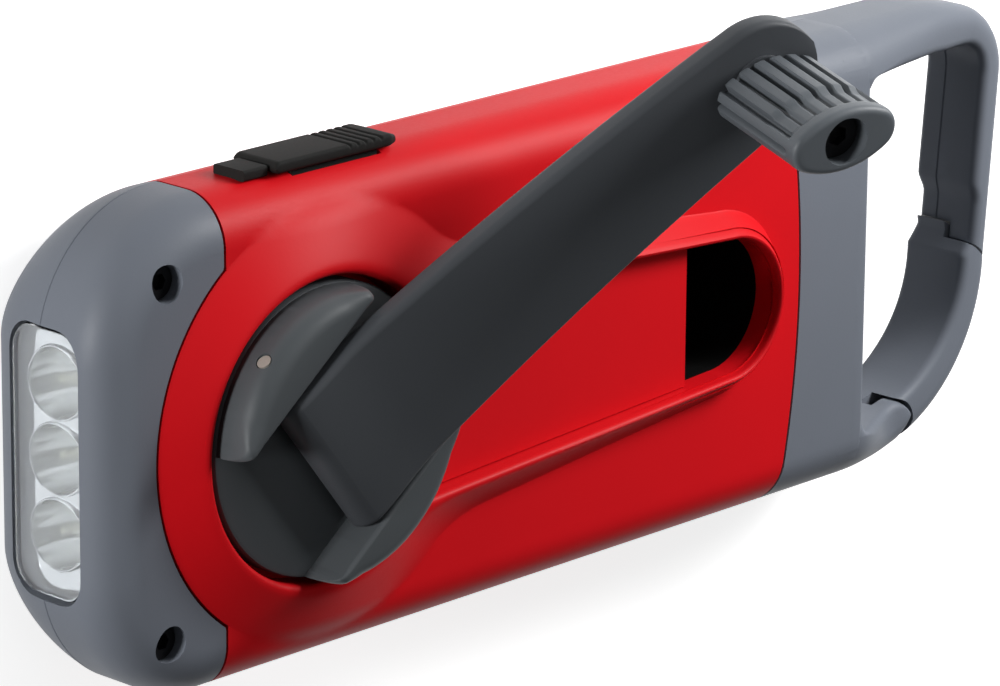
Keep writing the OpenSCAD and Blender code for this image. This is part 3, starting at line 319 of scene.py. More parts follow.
def moulded_plastic(name, colour, roughness, grain, gloss_level=0.35, shade=0.93):
    """Moulded plastic: one colour with faint clouds, and a spark-eroded grain of the given pitch in mm.

    The clouds go from the colour times shade to the colour times 2 - shade. The grain makes the
    roughness swing by gloss_swing either way, and a bump of grain_depth.
    """
    cloud_pitch, gloss_swing, grain_depth = 22.0, 0.05, 0.03
    material, tree, out = new_material(name)
    place = add(tree, "ShaderNodeTexCoord").outputs["Object"]
    clouds = add(tree, "ShaderNodeTexNoise", {"Vector": place, "Scale": 1 / (cloud_pitch * MM),
                                              "Detail": 3.0})
    pits = add(tree, "ShaderNodeTexNoise", {"Vector": place, "Scale": 1 / (grain * MM), "Detail": 2.0})
    base = np.array(linear(colour)[:3])
    tone = add(tree, "ShaderNodeMix", {0: clouds.outputs["Fac"], 6: (*(base * shade).tolist(), 1),
                                       7: (*np.minimum(base * (2 - shade), 1).tolist(), 1)}, data_type="RGBA")
    gloss = add(tree, "ShaderNodeMapRange", {"Value": pits.outputs["Fac"],
                                             "To Min": roughness - gloss_swing,
                                             "To Max": roughness + gloss_swing})
    bump = add(tree, "ShaderNodeBump", {"Height": pits.outputs["Fac"], "Strength": 0.25,
                                        "Distance": grain_depth * MM})
    shader = add(tree, "ShaderNodeBsdfPrincipled", {
        "Base Color": tone.outputs[2], "Roughness": gloss.outputs["Result"],
        "Normal": bump.outputs["Normal"], "Specular IOR Level": gloss_level})
    tree.links.new(shader.outputs[0], out.inputs["Surface"])
    return material


# A warm, even red with a soft, wide sheen; the grain only shows close by.
red_abs = moulded_plastic("satin_red_abs", "#cc0e18", 0.48, 0.35, gloss_level=0.13)

# The edge of the opening, from the tip of the recess along its upper side and round the well, and
# with it the shell's outline that each point of the edge looks out to. The lower half mirrors it. The
# recess's straight side meets the well's circle at join_x, which solves a quadratic equation.
n_tip, n_turn, n_line, n_ring, n_corner, n_lug = 30, 16, 90, 90, 4, 70
n_long = n_turn + n_line + n_ring
join_a = 1 + recess_taper ** 2
join_b = 2 * recess_half(0) * recess_taper
join_x = join_b + math.sqrt(join_b ** 2 - 4 * join_a * (recess_half(0) ** 2 - well_r ** 2))
join_x /= 2 * join_a
meet_a = math.degrees(math.atan2(recess_half(join_x), join_x))
corner_x = float(tail_seam(flat_y)) - seam_gap
head_x = head_seam_x + seam_gap
lug_edge = lug_r - seam_gap
corner_a = math.degrees(math.atan2(flat_y, head_x))
lug_a = math.degrees(math.atan2(lug_y, head_x))
end_a = np.radians(np.concatenate([steps(0, 60, n_tip), steps(60, 90, n_turn)]))
line_x = steps(recess_x, join_x, n_line)
ring_a = np.concatenate([steps(meet_a, corner_a, n_ring), steps(corner_a, lug_a, n_corner),
                         np.linspace(lug_a, 180, n_lug)])
ring_turn = np.radians(ring_a)
edge_x = np.concatenate([recess_x + recess_r * np.cos(end_a), line_x, well_r * np.cos(ring_turn)])
edge_y = np.concatenate([recess_r * np.sin(end_a), recess_half(line_x), well_r * np.sin(ring_turn)])
seam_y = steps(0, flat_y, n_tip)
fan_x = 17.0
lug_turn = np.radians(np.linspace(math.degrees(math.atan2(lug_y, head_x - lug_x)), 180, n_lug))
rim_x = np.concatenate([tail_seam(seam_y) - seam_gap, steps(corner_x, recess_x, n_turn),
                        steps(recess_x, fan_x, n_line),
                        np.interp(ring_a[:n_ring], [meet_a, 90, corner_a], [fan_x, 0, head_x]),
                        np.full(n_corner, head_x), lug_x + lug_edge * np.cos(lug_turn)])
rim_y = np.concatenate([seam_y, np.full(n_long, flat_y), steps(flat_y, lug_y, n_corner),
                        lug_edge * np.sin(lug_turn)])


def mirrored(x, y):
    """A closed plan outline from its half with positive Y."""
    return np.stack([np.concatenate([x, x[-2:0:-1]]), np.concatenate([y, -y[-2:0:-1]])], -1)


inner, outer = mirrored(edge_x, edge_y), mirrored(rim_x, rim_y)

# Rows run from the edge outwards: over the lip, down the slope to its foot, then to the outline. They
# lie closer together near the foot, which is found on each line by going along it in small steps.
reach = np.linalg.norm(outer - inner, axis=1)[:, None]
n_trial = 400
trial = np.linspace(0, 1, n_trial)[None, :, None]
trial_xy = inner[:, None] + (outer - inner)[:, None] * trial
trial_share = np.maximum.accumulate(slope_share(trial_xy[..., 0], trial_xy[..., 1]), axis=1)
hit = np.clip((trial_share < 1).sum(axis=1), 1, n_trial - 1)[:, None]
share_0, share_1 = np.take_along_axis(trial_share, hit - 1, 1), np.take_along_axis(trial_share, hit, 1)
foot_step = hit - 1 + (1 - share_0) / np.maximum(share_1 - share_0, 1e-9)
foot_at = reach * np.clip(foot_step / (n_trial - 1), 0, 1)
over_lip = lip_r * np.array([0, 0.03, 0.1, 0.23, 0.4, 0.64, 1])[None]
slope_crowd, face_crowd = 1.6, 1.9
down_slope = 1 - (1 - np.linspace(0, 1, 20)[None, 1:]) ** slope_crowd
beyond = np.linspace(0, 1, 22)[None, 1:] ** face_crowd
rows = np.concatenate([np.repeat(over_lip, len(reach), 0), lip_r + (foot_at - lip_r) * down_slope,
                       foot_at + (reach - foot_at) * beyond], 1)
plan = inner[:, None] + (outer - inner)[:, None] * (rows / reach)[..., None]
top = np.dstack([plan, crest_height(plan[..., 0], plan[..., 1])[..., None]])
drop = np.linspace(0, 1, 6)
wall_z = well_floor_z + (top[:, :1, 2] - well_floor_z) * drop[None]
well_wall = np.dstack([np.repeat(inner[:, None], len(drop), 1), wall_z[..., None]])

# The long edges: a quarter circle from the face, then straight down to the parting line. Two rows lie on
# the lower edges of the port's mouth and of the button's hole, which are given as X, X, high and low.
port_mouth, button_hole = (0.3, 12.9, 16.2, 11.1), (25.0, 35.0, 14.5, 10.0)
band_x = rim_x[n_tip:n_tip + n_long + 1]
bend = np.radians(90 - np.linspace(0, 90, 15))
side_rows = np.array([13.0, 12.0, port_mouth[3], button_hole[3], part_z])
band_y = np.concatenate([flat_y + edge_r * np.cos(bend), np.full(len(side_rows), half_w)])
band_z = np.concatenate([face_z - edge_r + edge_r * np.sin(bend), side_rows])
stretch = (tail_seam(band_y) - seam_gap - head_x) / (corner_x - head_x)
long_x = head_x + (band_x[:, None] - head_x) * stretch[None]
long_y = np.repeat(band_y[None], len(band_x), 0)
band = np.dstack([long_x, long_y, band_z[None] + crest_height(long_x, long_y) - face_z])
lower_band = band * np.array([1, -1, 1])


def pierced(grid, x0, x1, high, low):
    """The four grids round a hole from x0 to x1 and between two heights, at the nearest points of a band."""
    i1, i0 = np.abs(grid[:, -1, 0][:, None] - np.array([x0, x1])).argmin(axis=0)
    j0, j1 = np.abs(grid[0, :, 2][:, None] - np.array([high, low])).argmin(axis=0)
    return [(grid[:i0 + 1], False), (grid[i1:], False), (grid[i0:i1 + 1, :j0 + 1], False),
            (grid[i0:i1 + 1, j1:], False)]


def joint_return(line, depth):
    """The edge of a joint: a line of points carried straight down."""
    return np.stack([line, line - np.array([0, 0, depth])], 1)


seam_depth, front_wall = 1.6, 1.2
last = top[:, -1]
tail_line = np.concatenate([last[-n_tip:], last[:n_tip + 1]])
head_line = last[n_tip + n_long:len(last) - n_tip - n_long + 1]
front_shell = shaped_piece("front_shell_moulding", [
    (top, True), (well_wall, True), *pierced(band, *port_mouth), *pierced(lower_band, *button_hole),
    (joint_return(tail_line, seam_depth), False), (joint_return(head_line, seam_depth), False)], red_abs)
walled(front_shell, front_wall)
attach(front_shell, "body")
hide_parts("front_shell")


# Floor of the recess: a separate red plate under the folded arm, in the shell's ABS, set in with a fine
# gap on both sides. One end lies on the well's circle; the other is a straight edge at the knob's pocket.
plate_gap, plate_t = 0.12, 1.5


def capped(grid):
    """Closes both ends of a tube: its end rings are drawn in to their middles."""
    middle = np.repeat(grid.mean(axis=0, keepdims=True), len(grid), 0)
    return np.concatenate([middle[:, :1], grid, middle[:, -1:]], 1)


there = np.linspace(-1, 1, 25)
across = np.concatenate([there, there[::-1]])
level = np.repeat([recess_floor_z, recess_floor_z - plate_t], len(there))

# The circle and the taper depend on each other; five rounds settle where the plate starts.
start_x = np.full(len(across), well_r)
for _ in range(5):
    start_x = np.sqrt(well_r ** 2 - (across * (recess_half(start_x) - plate_gap)) ** 2)
plate_x = start_x[:, None] + (pocket_x - start_x)[:, None] * np.linspace(0, 1, 30)[None]
plate = np.dstack([plate_x, across[:, None] * (recess_half(plate_x) - plate_gap),
                   np.repeat(level[:, None], plate_x.shape[1], 1)])
recess_floor = shaped_piece("recess_floor", [(capped(plate), True)], red_abs)
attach(recess_floor, "body")
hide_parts("front_shell")


# Knob pocket: the deep well that the knob drops into when the arm is folded. Its inside is coloured
# near-black as painted shade for the depth of the well, in dull ABS, and it hangs from the shell at the round
# end of the recess.
pocket_floor_z, pocket_t = 2.0, 0.8
n_wall, n_floor, n_across = 10, 4, 21
# Painted shade: near-black, so that hardly any light comes back and the pocket looks like a deep hole.
# The power switch takes the same black as its own colour.
black_abs_and_painted_shade = moulded_plastic("dull_black_abs_and_painted_shade", "#060606", 0.65, 0.4, gloss_level=0.1)
pocket_turn = np.radians(np.linspace(-90, 90, 49))
pocket_half = float(recess_half(pocket_x))
pocket_ring = np.concatenate([
    np.stack([recess_x + recess_r * np.cos(pocket_turn), recess_r * np.sin(pocket_turn)], -1),
    np.stack([np.full(n_across, pocket_x), np.linspace(pocket_half, -pocket_half, n_across)], -1)])
pocket_z = np.concatenate([np.linspace(well_floor_z, pocket_floor_z, n_wall),
                           np.full(n_floor, pocket_floor_z)])
pocket_mid = pocket_ring.mean(axis=0)
share = np.concatenate([np.ones(n_wall), np.linspace(1, 0, n_floor + 1)[1:]])
pocket_plan = pocket_mid + (pocket_ring - pocket_mid)[:, None] * share[None, :, None]
pocket = np.dstack([pocket_plan, np.repeat(pocket_z[None], len(pocket_ring), 0)])
knob_pocket = shaped_piece("knob_pocket", [(pocket, True)], black_abs_and_painted_shade, outwards=False)
walled(knob_pocket, pocket_t)
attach(knob_pocket, "body")
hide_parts("front_shell")


# Well floor: the red floor under the drum, in the shell's ABS. It is a flat ring that closes the well
# from below, with a bore in its middle for the crank's bush.
bush_bore_r, well_floor_t = 4.4, 1.5


def revolved(profile, n, centre=(0.0, 0.0)):
    """A profile of (radius, height) points turned about an upright axis: a grid that closes along u."""
    turn = np.radians(steps(0, 360, n))[:, None]
    r, z = np.array(profile, float).T
    return np.dstack([centre[0] + r * np.cos(turn), centre[1] + r * np.sin(turn), np.repeat(z[None], n, 0)])


well_under_z = well_floor_z - well_floor_t
well_floor = shaped_piece("well_floor", [(revolved([
    (bush_bore_r, well_under_z), (bush_bore_r, well_floor_z), (well_r, well_floor_z), (well_r, well_under_z),
    (bush_bore_r, well_under_z)], 96), True)], red_abs)
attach(well_floor, "body")
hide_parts("front_shell")


# Rear shell: the red cover of the back, in the same ABS. Its long edges are broad arcs up to the
# parting line, and four screws go in from the back through deep round holes.
rear_r = 11.5
rear_flat = half_w - math.sqrt(rear_r ** 2 - (rear_r - part_z) ** 2)
shell_t = 2.0
part_gap = 0.06
case_screws_at = [(x, s * 19.4) for x in (-8.2, 46.0) for s in (-1, 1)]
screw_hole_r, case_screw_seat, below_back = 1.95, 6.0, -2.0
n_flat, n_along = 20, 50
rear_turn = np.radians(np.linspace(math.degrees(math.asin(1 - part_z / rear_r)), 90, 26))
side_y = rear_flat + rear_r * np.cos(rear_turn)
side_z = rear_r * (1 - np.sin(rear_turn))
back_y = np.concatenate([side_y, np.linspace(rear_flat, -rear_flat, n_flat + 2)[1:-1], -side_y[::-1]])
back_z = np.concatenate([side_z, np.zeros(n_flat), side_z[::-1]])
back_z = np.minimum(back_z, part_z - part_gap)
rear_end = tail_seam(back_y) - seam_gap
rear_x = head_x + (rear_end - head_x)[:, None] * np.linspace(0, 1, n_along)[None]
back = np.dstack([rear_x, np.repeat(back_y[:, None], n_along, 1), np.repeat(back_z[:, None], n_along, 1)])


def tool_mesh(grid):
    """A closed shape to cut with, from one grid."""
    return piece_mesh("tool", [(grid, True)])


def upright_tool(x, y, r, z0, z1, n=48):
    """A closed upright cylinder, to cut with."""
    return tool_mesh(revolved([(0, z0), (r, z0), (r, z1), (0, z1)], n, (x, y)))


rear_shell = shaped_piece("rear_shell_moulding", [(back, False)], red_abs)
walled(rear_shell, shell_t)
cut_out(rear_shell, [upright_tool(x, y, screw_hole_r, below_back, case_screw_seat)
                     for x, y in case_screws_at])
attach(rear_shell, "body")
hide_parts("rear_shell")


# Head cover: the grey front end, two halves that meet in a fine line over the lamp window. It is
# moulded in satin ABS, hollow, with a rounded window and two deep screw holes.
nose_x, nose_r = -28.0, 15.0
nose_edge_r, nose_back = 4.8, 5.0
groove_w, groove_depth = 0.09, 0.08
window_half_y, window_low, window_high, window_r = 14.2, 4.4, 15.4, 3.4
window_cut = (nose_x - 3.0, nose_x + 6.0)
head_screws_at = [(-19.3, 18.6), (-19.3, -18.6)]
head_screw_seat, above_face = 15.0, 23.0
n_front = 17
# A cool mid grey with a satin sheen; the grain breaks up the highlights on the round edges.
grey_abs = moulded_plastic("satin_grey_abs", "#6b7079", 0.48, 0.3, gloss_level=0.2)
cover_x = head_seam_x - seam_gap
corner_x0, corner_y0 = nose_x + nose_r, half_w - nose_r
nose_bend = np.radians(steps(90, 180, 44))
half_outline = np.concatenate([
    [[cover_x, half_w]],
    np.stack([corner_x0 + nose_r * np.cos(nose_bend), corner_y0 + nose_r * np.sin(nose_bend)], -1),
    np.stack([np.full(n_front, nose_x), np.linspace(corner_y0, 0, n_front)], -1)])
half_inward = np.concatenate([[[0.0, -1.0]], np.stack([-np.cos(nose_bend), -np.sin(nose_bend)], -1),
                              np.tile([1.0, 0.0], (n_front, 1))])
flip = np.array([1.0, -1.0])
outline = np.concatenate([half_outline, (half_outline * flip)[-2::-1]])
inward = np.concatenate([half_inward, (half_inward * flip)[-2::-1]])

# The edge's radius goes from edge_r on the sides to nose_edge_r at the front. Below it the wall runs
# straight down to the fine groove between the halves.
ahead = inward[:, :1] ** 2
front_r = edge_r + (nose_edge_r - edge_r) * ahead
round_in = 1 - np.sin(np.radians(np.linspace(0, 90, 14)))[None]
round_down = 1 - np.cos(np.radians(np.linspace(0, 90, 14)))[None]
straight = np.linspace(0, 1, 5)[None, 1:]
groove_z = np.array([[part_z + groove_w, part_z + groove_w / 3, part_z - groove_w / 3, part_z - groove_w]])
groove_in = np.array([[0, groove_depth, groove_depth, 0]])
n_out = len(outline)
front_z = face_z - front_r * round_down
wall_top = face_z - front_r
cover_wall_z = wall_top + (part_z + 2 * groove_w - wall_top) * straight
inset = np.concatenate([front_r * round_in, np.zeros((n_out, straight.size)),
                        np.repeat(groove_in, n_out, 0)], 1)
upper_z = np.concatenate([front_z, cover_wall_z, np.repeat(groove_z, n_out, 0)], 1)
upper = np.dstack([outline[:, None] + inward[:, None] * inset[..., None], upper_z[..., None]])

# The rear rows use the rear shell's own arc, drawn in less at the front of the head.
pull = np.stack([(half_w - side_y) * nose_back / (half_w - rear_flat), half_w - side_y], -1)
lower = np.dstack([outline[:, None] + inward[:, None] * pull[None],
                   np.repeat(np.minimum(side_z, part_z - 2 * groove_w)[None], n_out, 0)])
skirt = np.concatenate([upper, lower], 1)


def spread(line, n):
    """n points at even distances along a line of points."""
    run = np.concatenate([[0], np.cumsum(np.linalg.norm(np.diff(line, axis=0), axis=1))])
    want = np.linspace(0, run[-1], n)
    return np.stack([np.interp(want, run, line[:, k]) for k in range(line.shape[1])], -1)


def filled(line, to, n):
    """A flat web from a line of points straight to another with as many points, in n rows."""
    return line[:, None] + (to - line)[:, None] * np.linspace(0, 1, n)[None, :, None]


lug_gap_r = lug_r + seam_gap
cover_lug_y = math.sqrt(lug_gap_r ** 2 - (cover_x - lug_x) ** 2)
lug_bend = np.radians(np.linspace(math.degrees(math.atan2(cover_lug_y, cover_x - lug_x)), 180, 60))
half_seam = np.concatenate([
    np.stack([np.full(8, cover_x), np.linspace(half_w - edge_r, cover_lug_y, 9)[:-1]], -1),
    np.stack([lug_x + lug_gap_r * np.cos(lug_bend), lug_gap_r * np.sin(lug_bend)], -1)])
cover_seam = spread(np.concatenate([half_seam, (half_seam * flip)[-2::-1]]), n_out)
face_seam = np.column_stack([cover_seam, np.full(n_out, face_z)])
back_seam = np.column_stack([np.full(n_out, cover_x), np.linspace(rear_flat, -rear_flat, n_out),
                             np.zeros(n_out)])


def rounded_box(low, high, radii, n=7):
    """Closed outlines, one a station, from low to high (stations by 2).

    Each corner is a quarter ellipse; radii holds its two half axes (stations by 4 corners by 2).
    The corners run from high-high over low-high and low-low to high-low.
    """
    corner = np.repeat(np.arange(4), n)
    turn = np.radians(np.tile(np.linspace(0, 90, n), 4) + 90 * corner)
    r = radii[:, corner]
    far = np.isin(corner, (0, 3))[None]
    top = np.isin(corner, (0, 1))[None]
    a = np.where(far, high[:, :1] - r[..., 0], low[:, :1] + r[..., 0]) + r[..., 0] * np.cos(turn)
    b = np.where(top, high[:, 1:] - r[..., 1], low[:, 1:] + r[..., 1]) + r[..., 1] * np.sin(turn)
    return np.dstack([a, b])


def even_radii(r):
    """The same radius at all four corners and along both axes, for each station."""
    return np.tile(np.asarray(r, float)[:, None, None], (1, 4, 2))


def along_x(stations, outlines):
    """Outlines in Y and Z, one at each X, as a tube."""
    x = np.repeat(np.array(stations, float)[None], outlines.shape[1], 0)
    return np.dstack([x, outlines[..., 0].T, outlines[..., 1].T])


def window_tube(stations, shrink):
    """The window's rounded outline at each X, drawn in by shrink."""
    shrink = np.array(shrink, float)
    low = np.stack([-window_half_y + shrink, window_low + shrink], -1)
    high = np.stack([window_half_y - shrink, window_high - shrink], -1)
    return along_x(stations, rounded_box(low, high, even_radii(window_r - shrink), 9))


head_cover = shaped_piece("head_cover", [
    (skirt, False), (filled(skirt[:, 0], face_seam, 14), False),
    (filled(skirt[:, -1], back_seam, 8), False)], grey_abs)
walled(head_cover, shell_t)
head_holes = [upright_tool(x, y, screw_hole_r, head_screw_seat, above_face) for x, y in head_screws_at]
cut_out(head_cover, [tool_mesh(capped(window_tube(window_cut, [0, 0]))), *head_holes], crossing=True)
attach(head_cover, "body")
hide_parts("head_cover_front", "head_cover_rear")


# Lens: a clear slab in the window, in polished polycarbonate. It lies a little below the rim; its front
# is gently crowned and has a rounded edge.
lens_front, lens_back = nose_x + 0.65, nose_x + 2.4
lens_gap, lens_edge = 0.2, 0.6
crown, lens_side = 0.25, 0.5
# Clear and sharp: the cups show through it, and its crown catches a thin bright reflection.
clear_pc, tree, out = new_material("clear_polycarbonate")
glass = add(tree, "ShaderNodeBsdfPrincipled", {"Base Color": linear("#f4f7fa"), "Roughness": 0.03,
                                               "IOR": 1.585, "Transmission Weight": 1.0})
tree.links.new(glass.outputs[0], out.inputs["Surface"])
roll = np.radians(np.linspace(0, 90, 6))
lens_x = np.concatenate([[lens_back, lens_back - lens_side],
                         lens_front + crown + lens_edge * (1 - np.sin(roll)),
                         lens_front + crown * np.array([0.7, 0.35, 0.1])])
lens_in = np.concatenate([[lens_gap, lens_gap], lens_gap + lens_edge * (1 - np.cos(roll)),
                          lens_gap + lens_edge + np.array([0.6, 1.4, 2.4])])
lens = shaped_piece("lens", [(capped(window_tube(lens_x, lens_in)), True)], clear_pc)
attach(lens, "body")
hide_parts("lens")


# Reflector: one vacuum-metallised plastic plate with three round cups behind the lens. Each cup is a
# bowl with a raised lip, and an LED stands in the bore at its bottom.
cup_pitch, cup_r, cup_bore, cup_depth, bore_depth = 7.8, 3.5, 1.75, 5.4, 1.2
cup_x, cup_z = nose_x + 3.4, 9.6
plate_half_y, plate_half_z = 14.9, 6.2
lip_h, lip_w = 0.35, 0.35
# Almost white and mirror-bright, so that the cups show light and dark rings.
bright_film, tree, out = new_material("vacuum_metallised_plastic")
mirror = add(tree, "ShaderNodeBsdfPrincipled", {"Base Color": linear("#fbfcfc"), "Metallic": 0.7,
                                                "Roughness": 0.1})
tree.links.new(mirror.outputs[0], out.inputs["Surface"])


def cup_cell(y, low_y, high_y):
    """One cup and the plate round it: circles from the bore to the lip, then out to a rectangle.

    The bowl's depth falls with the square of the distance from the bore's edge.
    """
    full_turn = 2 * math.pi
    quarter = [math.atan2(plate_half_z, high_y - y), math.atan2(plate_half_z, low_y - y),
               math.atan2(-plate_half_z, low_y - y) + full_turn,
               math.atan2(-plate_half_z, high_y - y) + full_turn]
    turn = np.concatenate([steps(a, b, 24) for a, b in zip(quarter, quarter[1:] + [quarter[0] + full_turn])])
    side = np.where(np.cos(turn) > 0, high_y - y, y - low_y)
    reach = np.minimum(side / np.maximum(np.abs(np.cos(turn)), 1e-9),
                       plate_half_z / np.maximum(np.abs(np.sin(turn)), 1e-9))
    r = np.linspace(cup_bore, cup_r, 14)
    bowl_x = cup_x + cup_depth * (1 - (r - cup_bore) ** 2 / (cup_r - cup_bore) ** 2)
    over = np.radians(np.linspace(0, 180, 8))[1:]
    crest_r = cup_r + lip_w * (1 - np.cos(over)) / 2
    crest_x = cup_x - lip_h * np.sin(over)
    rings = np.concatenate([[cup_bore], r, crest_r])
    depth = np.concatenate([[bowl_x[0] + bore_depth], bowl_x, crest_x])
    flat = np.linspace(0, 1, 4)[None, 1:]
    radius = np.concatenate([np.repeat(rings[None], len(turn), 0),
                             crest_r[-1] + (reach[:, None] - crest_r[-1]) * flat], 1)
    x = np.repeat(np.concatenate([depth, np.full(flat.size, cup_x)])[None], len(turn), 0)
    return np.dstack([x, y + radius * np.cos(turn)[:, None], cup_z + radius * np.sin(turn)[:, None]])


edges_y = [-plate_half_y, -cup_pitch / 2, cup_pitch / 2, plate_half_y]
cells = [(cup_cell((k - 1) * cup_pitch, edges_y[k], edges_y[k + 1]), True) for k in range(3)]
reflector = shaped_piece("reflector", cells, bright_film)
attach(reflector, "body")
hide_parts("reflector")


# Tail and carabiner frame: the grey end of the body, which runs on as the limbs of a carabiner. It is
# moulded in satin ABS in two halves that meet in a fine line, and screws hold it from the back.
tail_end, tail_edge = 86.4, 1.0
tail_screws_at = [(79.6, 18.6), (79.6, -18.6)]
tail_screw_seat = 3.8
n_face, n_tail = 14, 12
limb_half, limb_low, limb_high, limb_r = 2.7, 6.4, 15.4, 2.3
limb_y = half_w - limb_half
limb_root_x, upper_blend_x, lower_blend_x, rear_blend_x, fillet_r = 82.0, 107.5, 97.0, 91.0, 1.4
blend_past, upper_clear, hair = 1.0, 4.0, 0.02
limb_inner_r, far_in, far_from, far_run_in = 1.1, 1.4, 102.0, 10.0
root_low, root_r, line_scale = 1.75, 5.15, 1.8
bend_x, slow_r, slow_turn = 98.6, 30.0, 18.0
tight_r, lean, far_len, n_far = 5.6, 5.0, 24.0, 50
gate_line_r, gate_hinge_a = 18.1, -75.0
gate_mid = np.array([91.8, -limb_y + gate_line_r])
gate_reach, gate_step, gate_step_z, gate_gap = 22.6, 1.6, 11.5, 0.3
slot_low, slot_high, slot_r = 8.65, 13.2, 3.0
nose_in, nose_up, nose_start, nose_ramp = 0.7, 0.5, 12.5, 2.5
below_tool, above_tool = -5.0, 30.0
wall_rows = np.linspace(face_z - edge_r, part_z + 2 * groove_w, 4)[1:]
back_rows = np.linspace(rear_flat, 0, 12)[1:]
half_ring = np.concatenate([
    np.stack([steps(0, flat_y, n_face), np.full(n_face, face_z)], -1),
    np.stack([flat_y + edge_r * (1 - round_in[0]), face_z - edge_r * round_down[0]], -1),
    np.stack([np.full(len(wall_rows), half_w), wall_rows], -1),
    np.stack([half_w - groove_in[0], groove_z[0]], -1),
    np.stack([side_y, np.minimum(side_z, part_z - 2 * groove_w)], -1),
    np.stack([back_rows, np.zeros(len(back_rows))], -1)])
tail_ring = np.concatenate([half_ring, (half_ring * [-1, 1])[-2:0:-1]])
tail_mid_z = face_z / 2
tail_roll = np.radians(np.linspace(0, 90, 7))
tail_start = tail_seam(tail_ring[:, :1]) + seam_gap
tail_round_x = tail_end - tail_edge * (1 - np.sin(tail_roll[1:]))
tail_x = np.concatenate([tail_start + (tail_end - tail_edge - tail_start) * np.linspace(0, 1, n_tail)[None],
                         np.repeat(tail_round_x[None], len(tail_ring), 0)], 1)
tail_in = np.concatenate([np.zeros(n_tail), tail_edge * (1 - np.cos(tail_roll[1:]))])[None]
tail_grid = np.dstack([tail_x, tail_ring[:, :1] * (1 - tail_in / half_w),
                       tail_mid_z + (tail_ring[:, 1:] - tail_mid_z) * (1 - tail_in / tail_mid_z)])


def arc(mid, r, a0, a1, n):
    """Points on a plan arc from angle a0 to a1, and the directions outwards from its middle."""
    a = np.radians(np.linspace(a0, a1, n))
    out = np.stack([np.cos(a), np.sin(a)], -1)
    return np.asarray(mid) + r * out, out


def straight_run(start, heading, length, n):
    """Points on a straight plan line with a heading in degrees, and the direction to its left."""
    h = math.radians(heading)
    points = np.asarray(start) + np.linspace(0, length, n)[:, None] * np.array([math.cos(h), math.sin(h)])
    return points, np.tile([-math.sin(h), math.cos(h)], (n, 1))


def swept(path, out, outlines):
    """Outlines of (offset across the path, height), one at each point of a plan path, as a tube."""
    plan = path[None] + out[None] * outlines[..., 0].T[..., None]
    return np.dstack([plan, outlines[..., 1].T])


def smooth(x):
    """The S curve from 0 to 1: three times the square less twice the cube."""
    x = np.clip(x, 0, 1)
    return x * x * (3 - 2 * x)


def limb_outlines(path, along_nose, front):
    """The limb's section along its path: a box with round corners, narrower at the nose.

    Towards the tail it grows into the tail's own corner, with a fillet in the corner of the opening.
    front is how far its crank side has risen to the tail's face, from 0 to 1. The fine parting line
    of the two halves runs along the inner side.
    """
    rear = smooth((rear_blend_x - path[:, 0]) / (rear_blend_x - tail_end + blend_past))
    near = np.clip(tail_end + fillet_r - path[:, 0], 0, fillet_r)
    fillet = fillet_r - np.sqrt(fillet_r ** 2 - near ** 2)
    nose = smooth((along_nose - nose_start) / nose_ramp)
    thinner = far_in * smooth((path[:, 0] - far_from) / far_run_in)
    low = np.stack([-limb_half - fillet + thinner + nose_in * nose,
                    limb_low + (root_low - limb_low) * rear + nose_up * nose], -1)
    high = np.stack([np.full(len(path), limb_half - hair),
                     limb_high + (face_z - hair - limb_high) * front], -1)
    plain = np.repeat(np.array([[limb_r], [limb_inner_r], [limb_inner_r], [limb_r]]), 2, 1)
    grown = np.array([[root_r, edge_r], [limb_inner_r, tail_edge], [limb_inner_r, tail_edge],
                      [root_r, part_z - root_low]])
    radii = plain + (grown - plain) * np.stack([front, front, rear, rear], -1)[..., None]
    room = high[:, :1] - low[:, :1] - radii[:, [0, 3], 0] - hair
    radii[:, 1:3, 0] = np.minimum(radii[:, 1:3, 0] + fillet[:, None], room)
    outline = rounded_box(low, high, radii)
    line = np.dstack([low[:, :1] + line_scale * groove_in,
                      np.repeat(part_z + line_scale * (groove_z - part_z), len(path), 0)])
    half = outline.shape[1] // 2
    return np.concatenate([outline[:, :half], line, outline[:, half:]], 1)


upper_run = straight_run((limb_root_x, limb_y), 0, bend_x - limb_root_x, 44)
slow_bend = arc((bend_x, limb_y - slow_r), slow_r, 90, 90 - slow_turn, 10)
tight_mid = slow_bend[0][-1] - tight_r * slow_bend[1][-1]
tight_bend = arc(tight_mid, tight_r, 90 - slow_turn, -lean, 26)
far_run = straight_run(tight_bend[0][-1], -90 - lean, far_len, n_far)
limb_path, limb_out = (np.concatenate([upper_run[k], slow_bend[k][1:], tight_bend[k][1:], far_run[k][1:]])
                       for k in (0, 1))
along_nose = np.concatenate([np.zeros(len(limb_path) - n_far + 1), np.linspace(0, far_len, n_far)[1:]])
on_upper_side = limb_path[:, 1] > tight_mid[1] + upper_clear
upper_rise = np.clip((upper_blend_x - limb_path[:, 0]) / (upper_blend_x - tail_end), 0, 1) * on_upper_side
gate_hinge = arc(gate_mid, gate_line_r, gate_hinge_a, gate_hinge_a, 1)[0][0]


def gate_sweep(gap):
    """All that the gate can reach when it turns about its hinge, its stepped end too, and a gap round it."""
    far, near, step_z = gate_reach + gate_step + gap, gate_reach + gap, gate_step_z + gap
    return tool_mesh(revolved([(0, below_tool), (far, below_tool), (far, step_z), (near, step_z),
                               (near, above_tool), (0, above_tool)], 256, gate_hinge))


frame_limb = shaped_piece("frame_limb", [
    (capped(swept(limb_path, limb_out, limb_outlines(limb_path, along_nose, upper_rise))), True)], grey_abs)
cut_out(frame_limb, [gate_sweep(gate_gap)])

